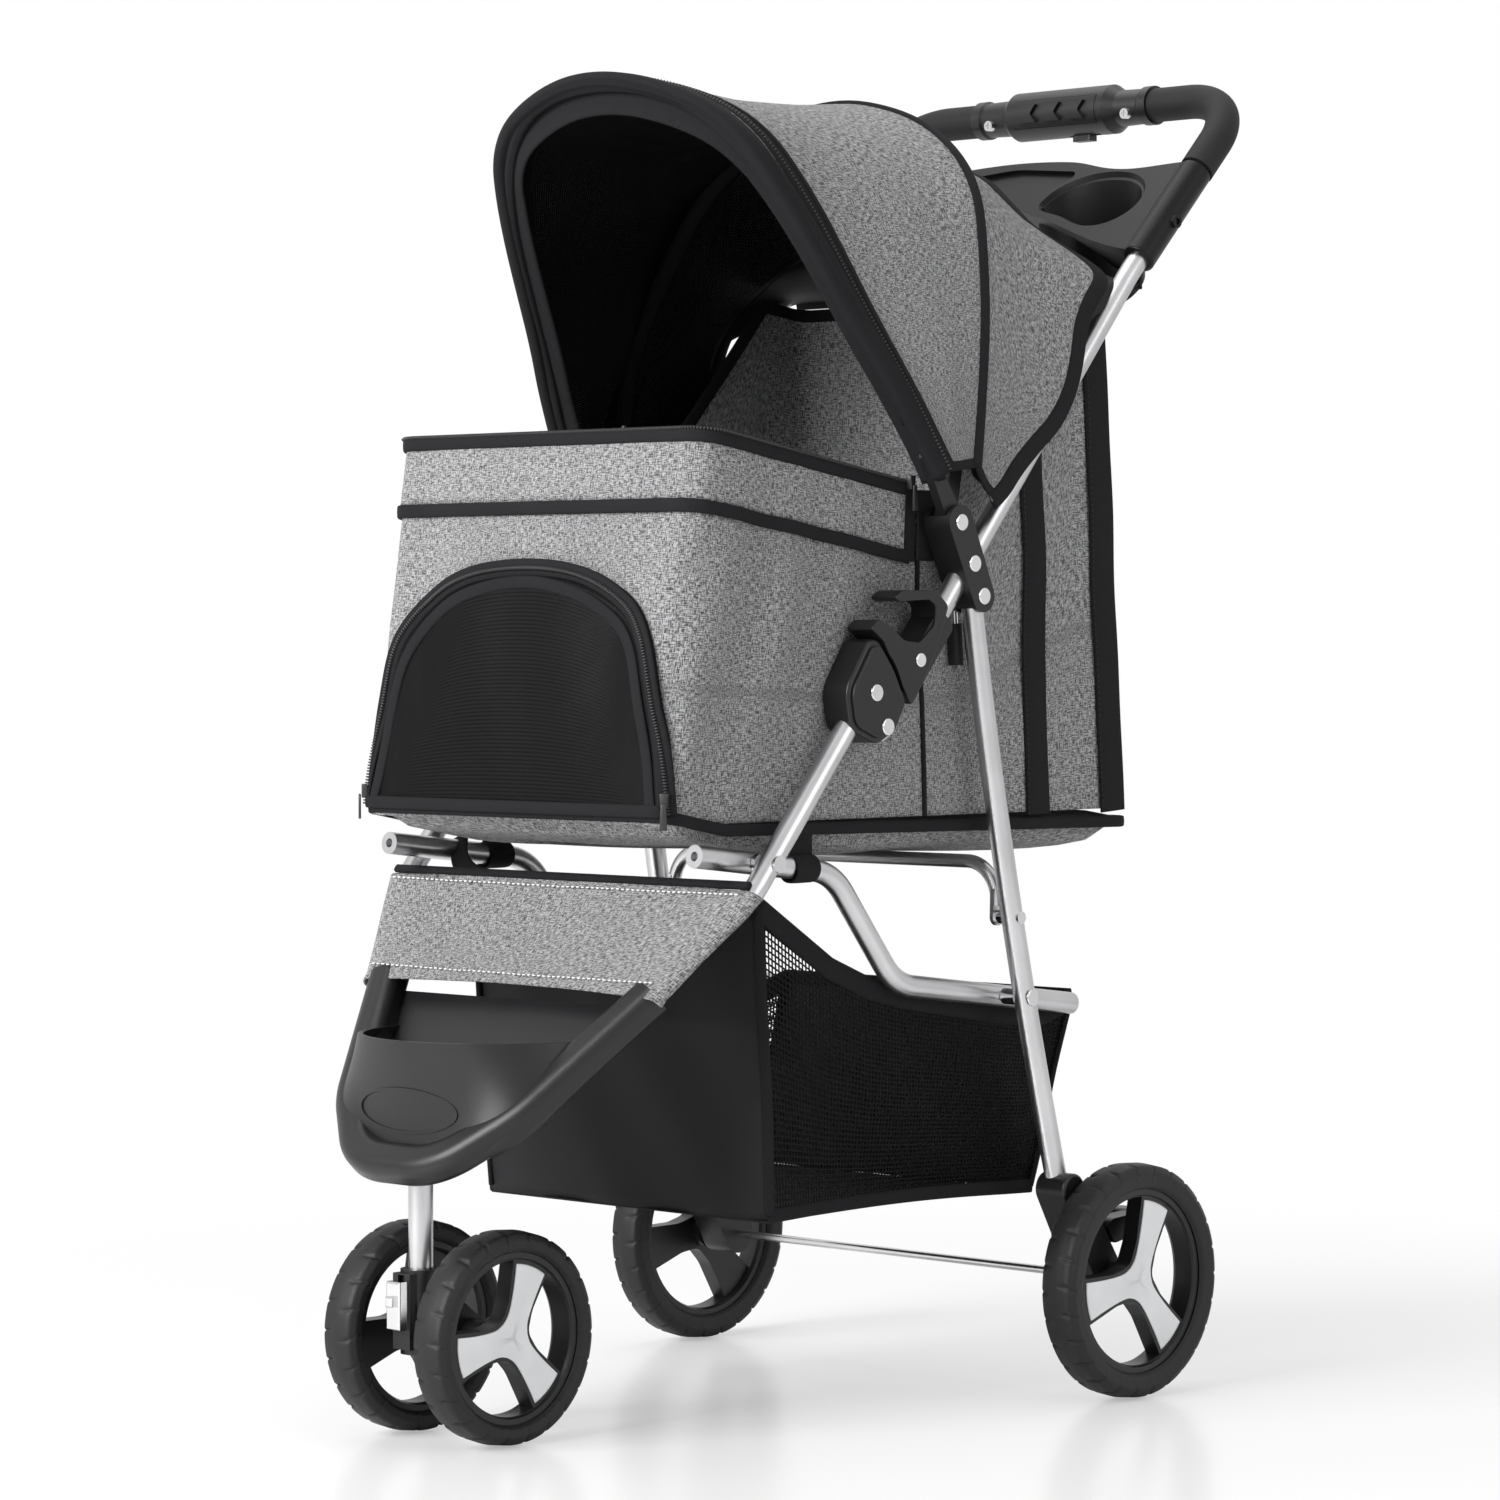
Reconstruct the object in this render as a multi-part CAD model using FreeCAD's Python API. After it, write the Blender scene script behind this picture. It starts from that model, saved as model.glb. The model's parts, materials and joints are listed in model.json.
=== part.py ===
"""Folding pet stroller: tube frame, fabric cabin with canopy, basket, tray and swivelling nose.

Millimetres. +Z is up, the nose points along -Y and the left side is +X. The origin is on the
ground under the middle of the frame. Each left-hand piece is modelled once and mirrored in X.
"""
import FreeCAD, Part
import math
import os

V = FreeCAD.Vector

# ---- driving dimensions -------------------------------------------------------------------
TUBE = 16.0                    # outside diameter of the main frame tubes
TUBE_WALL = 1.2
FRAME_X = 174.0                # mid-plane of handle tube, front leg and rear leg
RAIL_X = 154.0                 # mid-plane of the seat rails, inside the legs
RUNNING = 0.05                 # radial clearance of a pin that turns in its hole
SLIDING = 0.3                  # clearance between pieces that slide or swing past each other

FOLD = V(0, -61.0, 488.7)      # pivot of the handle tube in the fold housing
FRAME_ANGLE = 50.0             # slope of the handle tube and of the front leg
LEG_OFFSET = 22.0              # front leg axis, forward of the handle tube axis
HANDLE_BEND = 430.0            # along the handle tube, where it leans further back
BAR = V(0, 352.0, 958.0)       # axis of the handle bar
BAR_CORNER = 52.0              # bend radius of the bar's corners
FOAM = 26.0                    # outside diameter of the foam sleeves
FOAM_START = 113.0             # along the upper handle run
GRIP_HALF = 88.0               # half length of the plastic grip
GRIP_R = 19.0
COLLAR_R = 15.0
TRIGGER_HALF = 42.0
TRIGGER_TRAVEL = 5.0
BUTTON_TRAVEL = 6.0

LEG_PIVOT = V(0, 40.0, 580.0)  # top pivot of the rear leg, behind the handle tube
LEG_MID = V(177.0, 76.0, 376.0)
LEG_FOOT = V(185.5, 126.5, 140.0)
LEG_TOP_REACH = 6.0            # rear leg above its pivot
BOW_PIVOT = V(0, 16.0, 632.0)  # canopy bow pivot, at the top of the bracket
BRACKET_R = 12.5
BRACKET_PLATE = 4.0

RAIL_FRONT = V(RAIL_X, -217.0, 402.5)
RAIL_KNEE = V(RAIL_X, -84.0, 387.4)
RAIL_HEEL = V(RAIL_X, -18.6, 305.7)
RAIL_REAR = V(RAIL_X, 174.0, 282.0)
RAIL_BEND = 45.0
RAIL_PIVOT_Y = 91.5            # where the seat rail turns on the rear leg
RAIL_STUD_Y = -166.5           # where the seat rail lies on the front leg
PIN_D = 6.0
RIVET_HEAD = 6.0               # radius of a rivet's head
HEAD_THICK = 1.6
FOLD_PIN_D = 8.0

BRACE_D = 10.0
BRACE_TOP = 389.0
BRACE_EAR = 350.0
BRACE_CORNER = 28.0

REAR_AXLE = V(0, 164.0, 85.0)
REAR_WHEEL_X = 219.0
REAR_WHEEL_R = 85.0
REAR_WHEEL_W = 30.0
REAR_OPENING_R = 61.0
AXLE_D = 6.0
AXLE_PAST = 4.5                # axle end past the wheel's middle, under the closed hub
BRACKET_IN = 175.0             # rear axle bracket, inner and outer face
BRACKET_OUT = 202.0
BRAKE_PIVOT = V(0, 170.0, 119.0)

STEM = V(0, -330.0, 0)         # swivel axis of the front casters
STEM_D = 17.0
STEM_TOP = 236.0
STEM_FOOT = 66.0
BLOCK_TOP = 120.0
FRONT_AXLE = V(0, -295.0, 73.5)
FRONT_WHEEL_X = 45.4
FRONT_WHEEL_R = 73.5
FRONT_WHEEL_W = 31.0
FRONT_OPENING_R = 53.4
FRONT_AXLE_D = 8.0
LOCK_TRAVEL = 8.0

NOSE_LIP = 277.0               # height of the front lip
NOSE_WALL = 4.0
RIM_SLOPE = 46.0               # of the nose's U-shaped rim, down and forward from the ears
RIM_WIDE = 27.0
RIM_DEEP = 22.0
EAR = V(129.0, -246.4, 302.0)  # where the front leg enters the nose

TRAY_START = 14.0              # clamp sleeves of the tray, along the upper handle run
TRAY_DEPTH = 98.0
TRAY_TOP = 10.0                # faces of the tray above and below the tubes' plane
TRAY_BOTTOM = -14.0
CUP_DEEP = 62.0

CABIN_HALF = 151.0             # half width of the cabin
CLOTH = 3.0                    # thickness of the cabin walls
DOOR_THICK = 3.0
DOOR_SHRINK = 9.0              # doorway in the front wall, inside the door's outline
DOOR_ARCH = [(147.0, 4.0), (141.0, 44.0), (131.0, 84.0), (122.0, 118.0), (106.0, 140.0),
             (66.0, 162.0), (0.0, 172.0)]      # half width and height above the hem
BASKET_HALF = RAIL_X - TUBE / 2.0 - SLIDING
BASKET_CLOTH = 2.5

parts = {}


# ---- geometry helpers ---------------------------------------------------------------------
def along(angle):
    """Unit vector in the side plane, turned up from +Y by angle degrees."""
    return V(0, math.cos(math.radians(angle)), math.sin(math.radians(angle)))


def across(angle):
    """Unit vector in the side plane, square to along(angle) and pointing up and forward."""
    return along(angle + 90.0)


def rounded_wire(points, radii, closed=False):
    """Straight runs joined by tangent arcs, one radius for each corner."""
    count = len(points)
    corners = range(count) if closed else range(1, count - 1)
    edges = []
    last = None if closed else points[0]
    first = None
    for i, radius in zip(corners, radii):
        corner = points[i]
        back = (points[i - 1] - corner).normalize()
        ahead = (points[(i + 1) % count] - corner).normalize()
        half = back.getAngle(ahead) / 2.0
        reach = radius / math.tan(half)
        start, end = corner + back * reach, corner + ahead * reach
        bisector = (back + ahead).normalize()
        middle = corner + bisector * (radius / math.sin(half) - radius)
        if last is not None:
            edges.append(Part.LineSegment(last, start).toShape())
        first = first or start
        edges.append(Part.Arc(start, middle, end).toShape())
        last = end
    edges.append(Part.LineSegment(last, first if closed else points[-1]).toShape())
    return Part.Wire(edges)


def swept(wire, diameter):
    """Round bar of the given diameter along a smooth wire."""
    edge = wire.Edges[0]
    start = edge.valueAt(edge.FirstParameter)
    heading = edge.tangentAt(edge.FirstParameter)
    ring = Part.Wire(Part.Circle(start, heading, diameter / 2.0).toShape())
    return wire.makePipeShell([ring], True, True)


def tube(wire, diameter, wall):
    """Open-ended tube along a smooth wire."""
    return swept(wire, diameter).cut(swept(wire, diameter - 2 * wall))


def rod_x(centre, radius, x0, x1):
    """Cylinder along X about a point of the side plane."""
    return Part.makeCylinder(radius, abs(x1 - x0), V(min(x0, x1), centre.y, centre.z), V(1, 0, 0))


def link_face(a, ra, b, rb, x):
    """Outline of a belt round two circles in the side plane, as a face at x."""
    a, b = V(x, a.y, a.z), V(x, b.y, b.z)
    span = b - a
    direction = V(span).normalize()
    side = direction.cross(V(1, 0, 0))
    lean = (ra - rb) / span.Length
    spread = math.sqrt(1.0 - lean * lean)
    up, down = direction * lean + side * spread, direction * lean - side * spread
    edges = [
        Part.LineSegment(a + up * ra, b + up * rb).toShape(),
        Part.Arc(b + up * rb, b + direction * rb, b + down * rb).toShape(),
        Part.LineSegment(b + down * rb, a + down * ra).toShape(),
        Part.Arc(a + down * ra, a - direction * ra, a + up * ra).toShape(),
    ]
    return Part.Face(Part.Wire(edges))


def link(a, ra, b, rb, x0, x1):
    """Plate of belt outline between two X planes."""
    return link_face(a, ra, b, rb, x0).extrude(V(x1 - x0, 0, 0))


def plate(points, radii, x0, x1):
    """Plate between two X planes with a rounded polygon outline of (y, z) points."""
    outline = rounded_wire([V(x0, y, z) for y, z in points], radii, closed=True)
    return Part.Face(outline).extrude(V(x1 - x0, 0, 0))


def face_edges(solid, x):
    """Edges of a solid that lie in the plane at x."""
    return [e for e in solid.Edges if e.BoundBox.XLength < 0.01 and abs(e.BoundBox.XMin - x) < 0.01]


def grown(points, factor):
    """Outline points moved away from their mean by a factor."""
    y0 = sum(p[0] for p in points) / len(points)
    z0 = sum(p[1] for p in points) / len(points)
    return [(y0 + (y - y0) * factor, z0 + (z - z0) * factor) for y, z in points]


def box(x0, x1, y0, y1, z0, z1):
    return Part.makeBox(x1 - x0, y1 - y0, z1 - z0, V(x0, y0, z0))


def mirrored(shape):
    return shape.mirror(V(0, 0, 0), V(1, 0, 0))


def add(name, shape):
    solids = shape.Solids
    parts[name] = solids[0] if len(solids) == 1 else shape


def add_pair(name, shape):
    """A left-hand piece and its mirror image, each in a file of its own."""
    add(name + "_left", shape)
    add(name + "_right", mirrored(shape))


def add_both(name, shape):
    """The same small piece on both sides, in one file."""
    parts[name] = Part.makeCompound(shape.Solids + mirrored(shape).Solids)


def far_edge(head, x):
    """Rim of a rivet head on the side away from the plane at x."""
    rims = [e for e in head.Edges if e.BoundBox.XLength < 0.01]
    return max(rims, key=lambda e: abs(e.BoundBox.XMin - x))


def rivet(centre, diameter, x0, x1):
    """Pin along X with a domed head at each end, heads outside x0 and x1."""
    body = rod_x(centre, diameter / 2.0, x0, x1)
    for x, way in ((x0, -1), (x1, 1)):
        head = Part.makeCylinder(RIVET_HEAD, HEAD_THICK, V(x, centre.y, centre.z), V(way, 0, 0))
        body = body.fuse(head.makeFillet(HEAD_THICK * 0.6, [far_edge(head, x)]))
    return body.removeSplitter()


# ---- handle -------------------------------------------------------------------------------
U = along(FRAME_ANGLE)
N = across(FRAME_ANGLE)
HANDLE_KNEE = FOLD + U * HANDLE_BEND
UPPER_ANGLE = math.degrees(math.atan2(BAR.z - HANDLE_KNEE.z, BAR.y - HANDLE_KNEE.y))
UPPER_LENGTH = (BAR - HANDLE_KNEE).Length
TUBE_START = 20.0              # lower end of the handle tube, above the fold pivot
LUG_HALF = 6.0                 # half thickness of the pivot lug
LUG_R = 10.0


def at_x(x, point):
    return V(x, point.y, point.z)


def handle_wire(from_s, half=True):
    """Left half, or the whole, of the handle tube's axis."""
    low = at_x(FRAME_X, FOLD + U * from_s)
    knee = at_x(FRAME_X, HANDLE_KNEE)
    corner = at_x(FRAME_X, BAR)
    points = [low, knee, corner]
    radii = [200.0, BAR_CORNER]
    if half:
        return rounded_wire(points + [at_x(GRIP_HALF, BAR)], radii)
    return rounded_wire(
        points + [at_x(-FRAME_X, p) for p in reversed(points)], radii + radii[::-1]
    )


def make_handle():
    bar = tube(handle_wire(TUBE_START, half=False), TUBE, TUBE_WALL)
    for side in (-1, 1):
        bar = bar.cut(rod_x(BRACKET_RIVET, PIN_D / 2.0, side * FRAME_X - TUBE, side * FRAME_X + TUBE))
    add("handle_bar", bar)

    # foam sleeve from the tray clamp round the corner to the grip
    upper = along(UPPER_ANGLE)
    start = at_x(FRAME_X, HANDLE_KNEE + upper * FOAM_START)
    corner = at_x(FRAME_X, BAR)
    sleeve = rounded_wire([start, corner, at_x(GRIP_HALF, BAR)], [BAR_CORNER])
    add_pair("grip_foam", swept(sleeve, FOAM).cut(swept(sleeve, TUBE)))


def make_grip():
    """Two-shell plastic grip: a barrel between two necked collars, turned about the bar."""
    barrel = TRIGGER_HALF + 6.0
    outline = [
        (-GRIP_HALF, TUBE / 2.0), (-GRIP_HALF, COLLAR_R), (-GRIP_HALF + 8, COLLAR_R),
        (-GRIP_HALF + 10, COLLAR_R - 1.5), (-barrel - 8, COLLAR_R - 1.0), (-barrel, GRIP_R),
        (barrel, GRIP_R), (barrel + 8, COLLAR_R - 1.0), (GRIP_HALF - 10, COLLAR_R - 1.5),
        (GRIP_HALF - 8, COLLAR_R), (GRIP_HALF, COLLAR_R), (GRIP_HALF, TUBE / 2.0),
    ]
    points = [BAR + V(x, 0, r) for x, r in outline]
    shell = Part.Face(Part.makePolygon(points + points[:1])).revolve(BAR, V(1, 0, 0), 360)

    # trigger bar let into the front of the barrel, with three waisted finger ribs
    back = -GRIP_R + 4.5
    window = box(-TRIGGER_HALF, TRIGGER_HALF, -GRIP_R - 5, back + TRIGGER_TRAVEL + 0.5, -11, 11)
    shell = shell.cut(window.translated(BAR))
    pad_outline = rounded_wire(
        [V(-TRIGGER_HALF + SLIDING, y, z) for y, z in (
            (back, -11 + SLIDING), (-GRIP_R - 0.5, -11 + SLIDING),
            (-GRIP_R - 0.5, 11 - SLIDING), (back, 11 - SLIDING))],
        [0.8, 3.0, 3.0, 0.8], closed=True)
    trigger = Part.Face(pad_outline).extrude(V(2 * (TRIGGER_HALF - SLIDING), 0, 0))
    trigger = trigger.common(rod_x(V(0, 0, 0), GRIP_R + 0.3, -GRIP_HALF, GRIP_HALF))
    knuckled = rod_x(V(0, 0, 0), GRIP_R + 3.4, -GRIP_HALF, GRIP_HALF)
    for x in (-24.0, 0.0, 24.0):
        waist = [(-8, -7), (8, -7), (3.5, 0), (8, 7), (-8, 7), (-3.5, 0)]
        points = [V(x + dx, -GRIP_R - 5.0, dz) for dx, dz in waist]
        rib = Part.Face(Part.makePolygon(points + points[:1])).extrude(V(0, 8.0, 0))
        trigger = trigger.fuse(rib.common(knuckled))
    trigger = trigger.removeSplitter().translated(BAR)
    add("trigger", trigger)

    # safety button under the barrel: a thumb slide in its own groove
    groove = box(6, 36, -5, 5, -GRIP_R - 1, -GRIP_R + 4)
    shell = shell.cut(groove.translated(BAR))
    thumb = box(8, 26, -4.6, 4.6, -GRIP_R - 4, -GRIP_R + 4 - SLIDING)
    thumb = thumb.makeFillet(1.5, [e for e in thumb.Edges if e.BoundBox.ZLength > 5])
    add("safety_button", thumb.translated(BAR))
    # cross screws through the collars
    screw_seat = []
    for x in (-69.0, 69.0):
        seat = BAR + V(x, -COLLAR_R - 1.0, -6.0)
        head = Part.makeCylinder(4.0, 4.5, seat, V(0, 1, 0))
        recess = box(-2.6, 2.6, 0, 1.4, -0.5, 0.5).fuse(box(-0.5, 0.5, 0, 1.4, -2.6, 2.6)).translated(seat)
        screw_seat.append((head, head.cut(recess)))
    shell = shell.cut([seat for seat, _ in screw_seat])
    parts["grip_screws"] = Part.makeCompound([screw for _, screw in screw_seat])
    add("grip_housing", shell)


# half outlines of the tray, across and along the upper handle run
TRAY_FRONT = [(0.0, 82.0), (30.0, 71.0), (67.0, 56.0), (106.0, 38.0), (143.0, 23.0), (167.0, 16.0)]
TRAY_REAR = [(0.0, 126.0), (41.0, 124.0), (62.0, 121.0), (86.0, 114.0), (119.0, 109.0), (141.0, 110.0),
             (167.0, 112.0)]
# lop-sided mouth of a cup well, and the corners of the shallow dish between the wells
CUP_MOUTH = [(52.0, 78.0), (62.0, 93.0), (80.0, 102.0), (106.0, 104.0), (130.0, 98.0), (144.0, 84.0),
             (145.0, 66.0), (127.0, 50.0), (102.0, 51.0), (75.0, 63.0)]
DISH = [(72.0, 110.0), (0.0, 119.0), (-72.0, 110.0), (-30.0, 76.0), (0.0, 91.0), (30.0, 76.0)]


def even_curve(half_outline, z):
    """Smooth curve through a half outline and its mirror image."""
    right = [V(x, y, z) for x, y in half_outline]
    curve = Part.BSplineCurve()
    curve.interpolate([V(-p.x, p.y, p.z) for p in right[:0:-1]] + right)
    return curve.toShape()


def cup_ring(z, grow, drop=0.0):
    """Closed smooth ring round a cup well, grown outwards and dropped straight down."""
    middle = V(100.0, 77.0, z)
    down = V(0, -math.sin(math.radians(UPPER_ANGLE)), -math.cos(math.radians(UPPER_ANGLE)))
    points = []
    for x, y in CUP_MOUTH:
        out = V(x, y, z) - middle
        points.append(middle + out * ((out.Length + grow) / out.Length) + down * drop)
    curve = Part.BSplineCurve()
    curve.interpolate(points, PeriodicFlag=True)
    return Part.Wire(curve.toShape())


def make_tray():
    """Console between the handle tubes: raised lip, dish, two cup wells, a clamp round each tube.

    It is modelled flat, with local Y along the upper handle run and local Z square to it,
    then turned on to the handle.
    """
    front, rear = even_curve(TRAY_FRONT, TRAY_BOTTOM), even_curve(TRAY_REAR, TRAY_BOTTOM)
    ends = [[V(side * 167.0, line[-1][1], TRAY_BOTTOM) for line in (TRAY_FRONT, TRAY_REAR)]
            for side in (-1, 1)]
    outline = Part.Wire([Part.LineSegment(*ends[0]).toShape(), rear, Part.LineSegment(*ends[1]).toShape(),
                         front])
    tray = Part.Face(outline).extrude(V(0, 0, TRAY_TOP - TRAY_BOTTOM))

    # clamp sleeves round the tubes, and the cap of a clamp screw on each
    sleeve_r = TUBE / 2.0 + 4.5
    for side in (-1, 1):
        sleeve = Part.makeCylinder(sleeve_r, TRAY_DEPTH, V(side * FRAME_X, TRAY_START, 0), V(0, 1, 0))
        sleeve = sleeve.makeFillet(2.5, [e for e in sleeve.Edges if e.BoundBox.YLength < 0.1])
        cap = Part.makeCylinder(5.0, 6.0, V(side * (FRAME_X + sleeve_r - 4.0), 55.5, 0), V(side, 0, 0))
        recess = Part.makeCylinder(2.6, 3.0, V(side * (FRAME_X + sleeve_r + 0.6), 55.5, 0), V(side, 0, 0))
        tray = tray.fuse([sleeve, cap]).cut(recess)

    pot = Part.makeLoft([cup_ring(TRAY_TOP, 3.0, CUP_DEEP + 4.0), cup_ring(TRAY_TOP, 3.0, 4.0)], True)
    well = Part.makeLoft([cup_ring(TRAY_TOP, 0.0, CUP_DEEP), cup_ring(TRAY_TOP, 0.0, -40.0)], True)
    mouth = Part.makeLoft([cup_ring(TRAY_TOP - 3.0, 0.0), cup_ring(TRAY_TOP + 0.5, 3.5)], True)
    dish = Part.Face(rounded_wire([V(x, y, TRAY_TOP - 3.5) for x, y in DISH],
                                  [5.0, 80.0, 5.0, 8.0, 30.0, 8.0], closed=True)).extrude(V(0, 0, 10.0))
    tray = tray.fuse([pot, mirrored(pot)]).cut([dish] + [c for w in (well, mouth) for c in (w, mirrored(w))])
    tray.rotate(V(0, 0, 0), V(1, 0, 0), UPPER_ANGLE)
    tray.translate(HANDLE_KNEE)
    tray = tray.cut(swept(handle_wire(TUBE_START, half=False), TUBE))
    add("tray", tray.removeSplitter())


# ---- rear legs, bracket and brace ---------------------------------------------------------
LEG_SLOPE = math.degrees(math.atan2(LEG_MID.z - LEG_PIVOT.z, LEG_MID.y - LEG_PIVOT.y))
BRACKET_RIVET = V(0, 30.0, 603.0)       # through the handle tube, between the two pivots
SLOT_IN = FRAME_X - TUBE / 2.0 - SLIDING
SLOT_OUT = FRAME_X + TUBE / 2.0 + SLIDING


def rear_leg_wire():
    top = at_x(FRAME_X, LEG_PIVOT - along(LEG_SLOPE) * LEG_TOP_REACH)
    return Part.Wire(Part.Arc(top, LEG_MID, LEG_FOOT).toShape())


def point_on_leg(z):
    """Point of the rear leg's axis at a height."""
    arc = rear_leg_wire().Edges[0]
    low, high = arc.FirstParameter, arc.LastParameter
    for _ in range(40):
        middle = (low + high) / 2.0
        if arc.valueAt(middle).z > z:
            low = middle
        else:
            high = middle
    return arc.valueAt(low)


def rail_point(y):
    """Point of the left seat rail's axis on its front or rear run."""
    a, b = (RAIL_FRONT, RAIL_KNEE) if y < RAIL_KNEE.y else (RAIL_HEEL, RAIL_REAR)
    return a + (b - a) * ((y - a.y) / (b.y - a.y))


def socket_point():
    """Middle of the bracket's socket, up the rear leg from its foot."""
    return V(0, LEG_FOOT.y - 4.0, LEG_FOOT.z + 12.0)


def make_rear_frame():
    rail_pivot = rail_point(RAIL_PIVOT_Y)
    leg = tube(rear_leg_wire(), TUBE, TUBE_WALL)
    leg = leg.cut(rod_x(LEG_PIVOT, PIN_D / 2.0 + RUNNING, 0, 260))
    leg = leg.cut(rod_x(rail_pivot, PIN_D / 2.0, 0, 260))
    add_pair("rear_leg", leg)

    # pivot of the seat rail: rivet and spacer carried by the rear leg
    side = point_on_leg(rail_pivot.z).x
    pin = rivet(rail_pivot, PIN_D, RAIL_X - TUBE / 2.0 - SLIDING, side + TUBE / 2.0)
    spacer = rod_x(rail_pivot, PIN_D / 2.0 + 3.0, RAIL_X + TUBE / 2.0 + SLIDING, side - 5.0)
    spacer = spacer.cut(swept(rear_leg_wire(), TUBE))
    add_both("rail_pins", pin.fuse(spacer).removeSplitter())

    # inverted U brace between the legs
    ear = point_on_leg(BRACE_EAR)
    inner = point_on_leg(BRACE_TOP).x - TUBE / 2.0 - SLIDING
    x = inner - BRACE_D / 2.0
    low = BRACE_EAR + 8.0
    path = rounded_wire(
        [V(x, ear.y, low), V(x, ear.y, BRACE_TOP), V(-x, ear.y, BRACE_TOP), V(-x, ear.y, low)],
        [BRACE_CORNER, BRACE_CORNER])
    foot = V(0, ear.y, BRACE_EAR)
    tab = link(foot, 6.5, V(0, ear.y, low + 8), 6.0, x - 1.5, x + 1.5)
    tab = tab.cut(rod_x(foot, 2.0, 0, 260))
    brace = swept(path, BRACE_D).fuse([tab, mirrored(tab)])
    add("rear_brace", brace)
    spacer = rod_x(foot, 5.0, x + 1.5, ear.x).cut(swept(rear_leg_wire(), TUBE))
    fastener = rod_x(foot, 2.0, x - 1.5, ear.x + TUBE / 2.0).fuse(spacer)
    head = Part.makeCylinder(4.5, HEAD_THICK, V(ear.x + TUBE / 2.0 - 0.4, foot.y, foot.z), V(1, 0, 0))
    add_both("brace_rivets", fastener.fuse(head).cut(tube(rear_leg_wire(), TUBE, TUBE_WALL)))

    # axle rod and the moulded brackets that join it to the legs
    axle = rod_x(REAR_AXLE, AXLE_D / 2.0, -REAR_WHEEL_X - AXLE_PAST, REAR_WHEEL_X + AXLE_PAST)
    add("rear_axle", axle)
    housing = link(socket_point(), 12.0, REAR_AXLE, 15.0, BRACKET_IN, BRACKET_OUT)
    housing = housing.fuse(link(REAR_AXLE, 13.0, BRAKE_PIVOT, 10.0, BRACKET_IN, BRACKET_IN + 9.0))
    housing = housing.makeFillet(2.5, [e for e in housing.Edges
                                       if e.BoundBox.XLength < 0.01 and e.BoundBox.XMin > BRACKET_OUT - 1])
    housing = housing.cut([
        rod_x(REAR_AXLE, AXLE_D / 2.0, 150, 260),
        swept(rear_leg_wire(), TUBE),
        rod_x(BRAKE_PIVOT, PIN_D / 2.0 + RUNNING, 150, 260)])
    add_pair("axle_bracket", housing)


def make_brake():
    """Foot lever beside the axle bracket, with a tooth that reaches for the rim."""
    tip = BRAKE_PIVOT + V(0, 44.0, 6.0)
    x0 = BRACKET_IN + 9.0 + SLIDING
    lever = link(BRAKE_PIVOT, 9.0, tip, 6.0, x0, BRACKET_OUT - 1.0)
    pedal = link(tip - V(0, 12, 0), 6.0, tip, 6.0, BRACKET_IN - 6.0, BRACKET_OUT - 1.0)
    boss = rod_x(BRAKE_PIVOT, PIN_D / 2.0, BRACKET_IN - 1.0, x0 + 2)
    lever = lever.fuse([pedal, boss])
    reach = link(socket_point(), 15.0, REAR_AXLE, 18.0, 150, 260)
    add_pair("brake_pedal", lever.cut(reach).removeSplitter())


def make_leg_bracket():
    """Clevis on the handle tube: two plates joined by a web along their front edge."""
    x0, x1 = SLOT_IN - BRACKET_PLATE, SLOT_OUT + BRACKET_PLATE
    body = link(BOW_PIVOT, BRACKET_R, LEG_PIVOT, BRACKET_R - 1.0, x0, x1)
    line = (BOW_PIVOT - LEG_PIVOT).normalize()
    back = V(0, line.z, -line.y)
    slot = link(BOW_PIVOT + back * 5.0 + line * 6, BRACKET_R + 1.5,
                LEG_PIVOT + back * 5.0 - line * 6, BRACKET_R + 1.5, SLOT_IN, SLOT_OUT)
    body = body.cut(slot)
    path = swept(handle_wire(TUBE_START, half=True), TUBE + 0.2)
    swing = rod_x(LEG_PIVOT, 11.0, SLOT_IN, SLOT_OUT)
    for step in range(6):
        heading = along(LEG_SLOPE + 16.0 * step)
        swing = swing.fuse(link(LEG_PIVOT, 8.8, LEG_PIVOT + heading * 40.0, 8.8, SLOT_IN, SLOT_OUT))
    body = body.cut([
        path,
        swing,
        rod_x(LEG_PIVOT, PIN_D / 2.0, 0, 260),
        rod_x(BRACKET_RIVET, PIN_D / 2.0, 0, 260),
        rod_x(BOW_PIVOT, PIN_D / 2.0, 0, 260)])
    add_pair("leg_bracket", body.removeSplitter())
    pins = [rivet(at, PIN_D, x0, x1) for at in (LEG_PIVOT, BRACKET_RIVET, BOW_PIVOT)]
    parts["bracket_pins"] = Part.makeCompound(pins + [mirrored(pin) for pin in pins])


# ---- fold joint ---------------------------------------------------------------------------
HOUSING_IN = FRAME_X - 14.0
HOUSING_OUT = FRAME_X + 12.0
LEG_AXIS = FOLD + N * LEG_OFFSET        # on the front leg's axis, beside the fold pivot
LEG_REACH = 18.0                        # front leg above that point
HOUSING = [(-72.0, 556.0), (-100.0, 515.0), (-95.0, 487.0), (-68.0, 476.0), (-49.0, 486.0),
           (-38.0, 505.0), (-52.0, 531.0)]
HOUSING_ROUND = [9.0, 22.0, 14.0, 14.0, 10.0, 7.0, 60.0]
HOUSING_RIVET = V(0, -72.5, 512.5)      # holds the front leg in the housing
LATCH_RIVET = V(0, -27.0, 535.0)
LATCH = [(-36.0, 503.5), (-31.0, 508.0), (-9.5, 541.0), (3.5, 573.0), (-9.0, 583.5), (-44.0, 584.0),
         (-53.0, 578.5), (-47.5, 575.8), (-17.0, 577.2), (-10.0, 573.0), (-10.5, 560.0), (-27.0, 547.0),
         (-43.0, 549.0), (-60.0, 560.5), (-69.0, 563.5), (-77.0, 557.0), (-64.0, 548.0), (-45.0, 518.0)]
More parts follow.
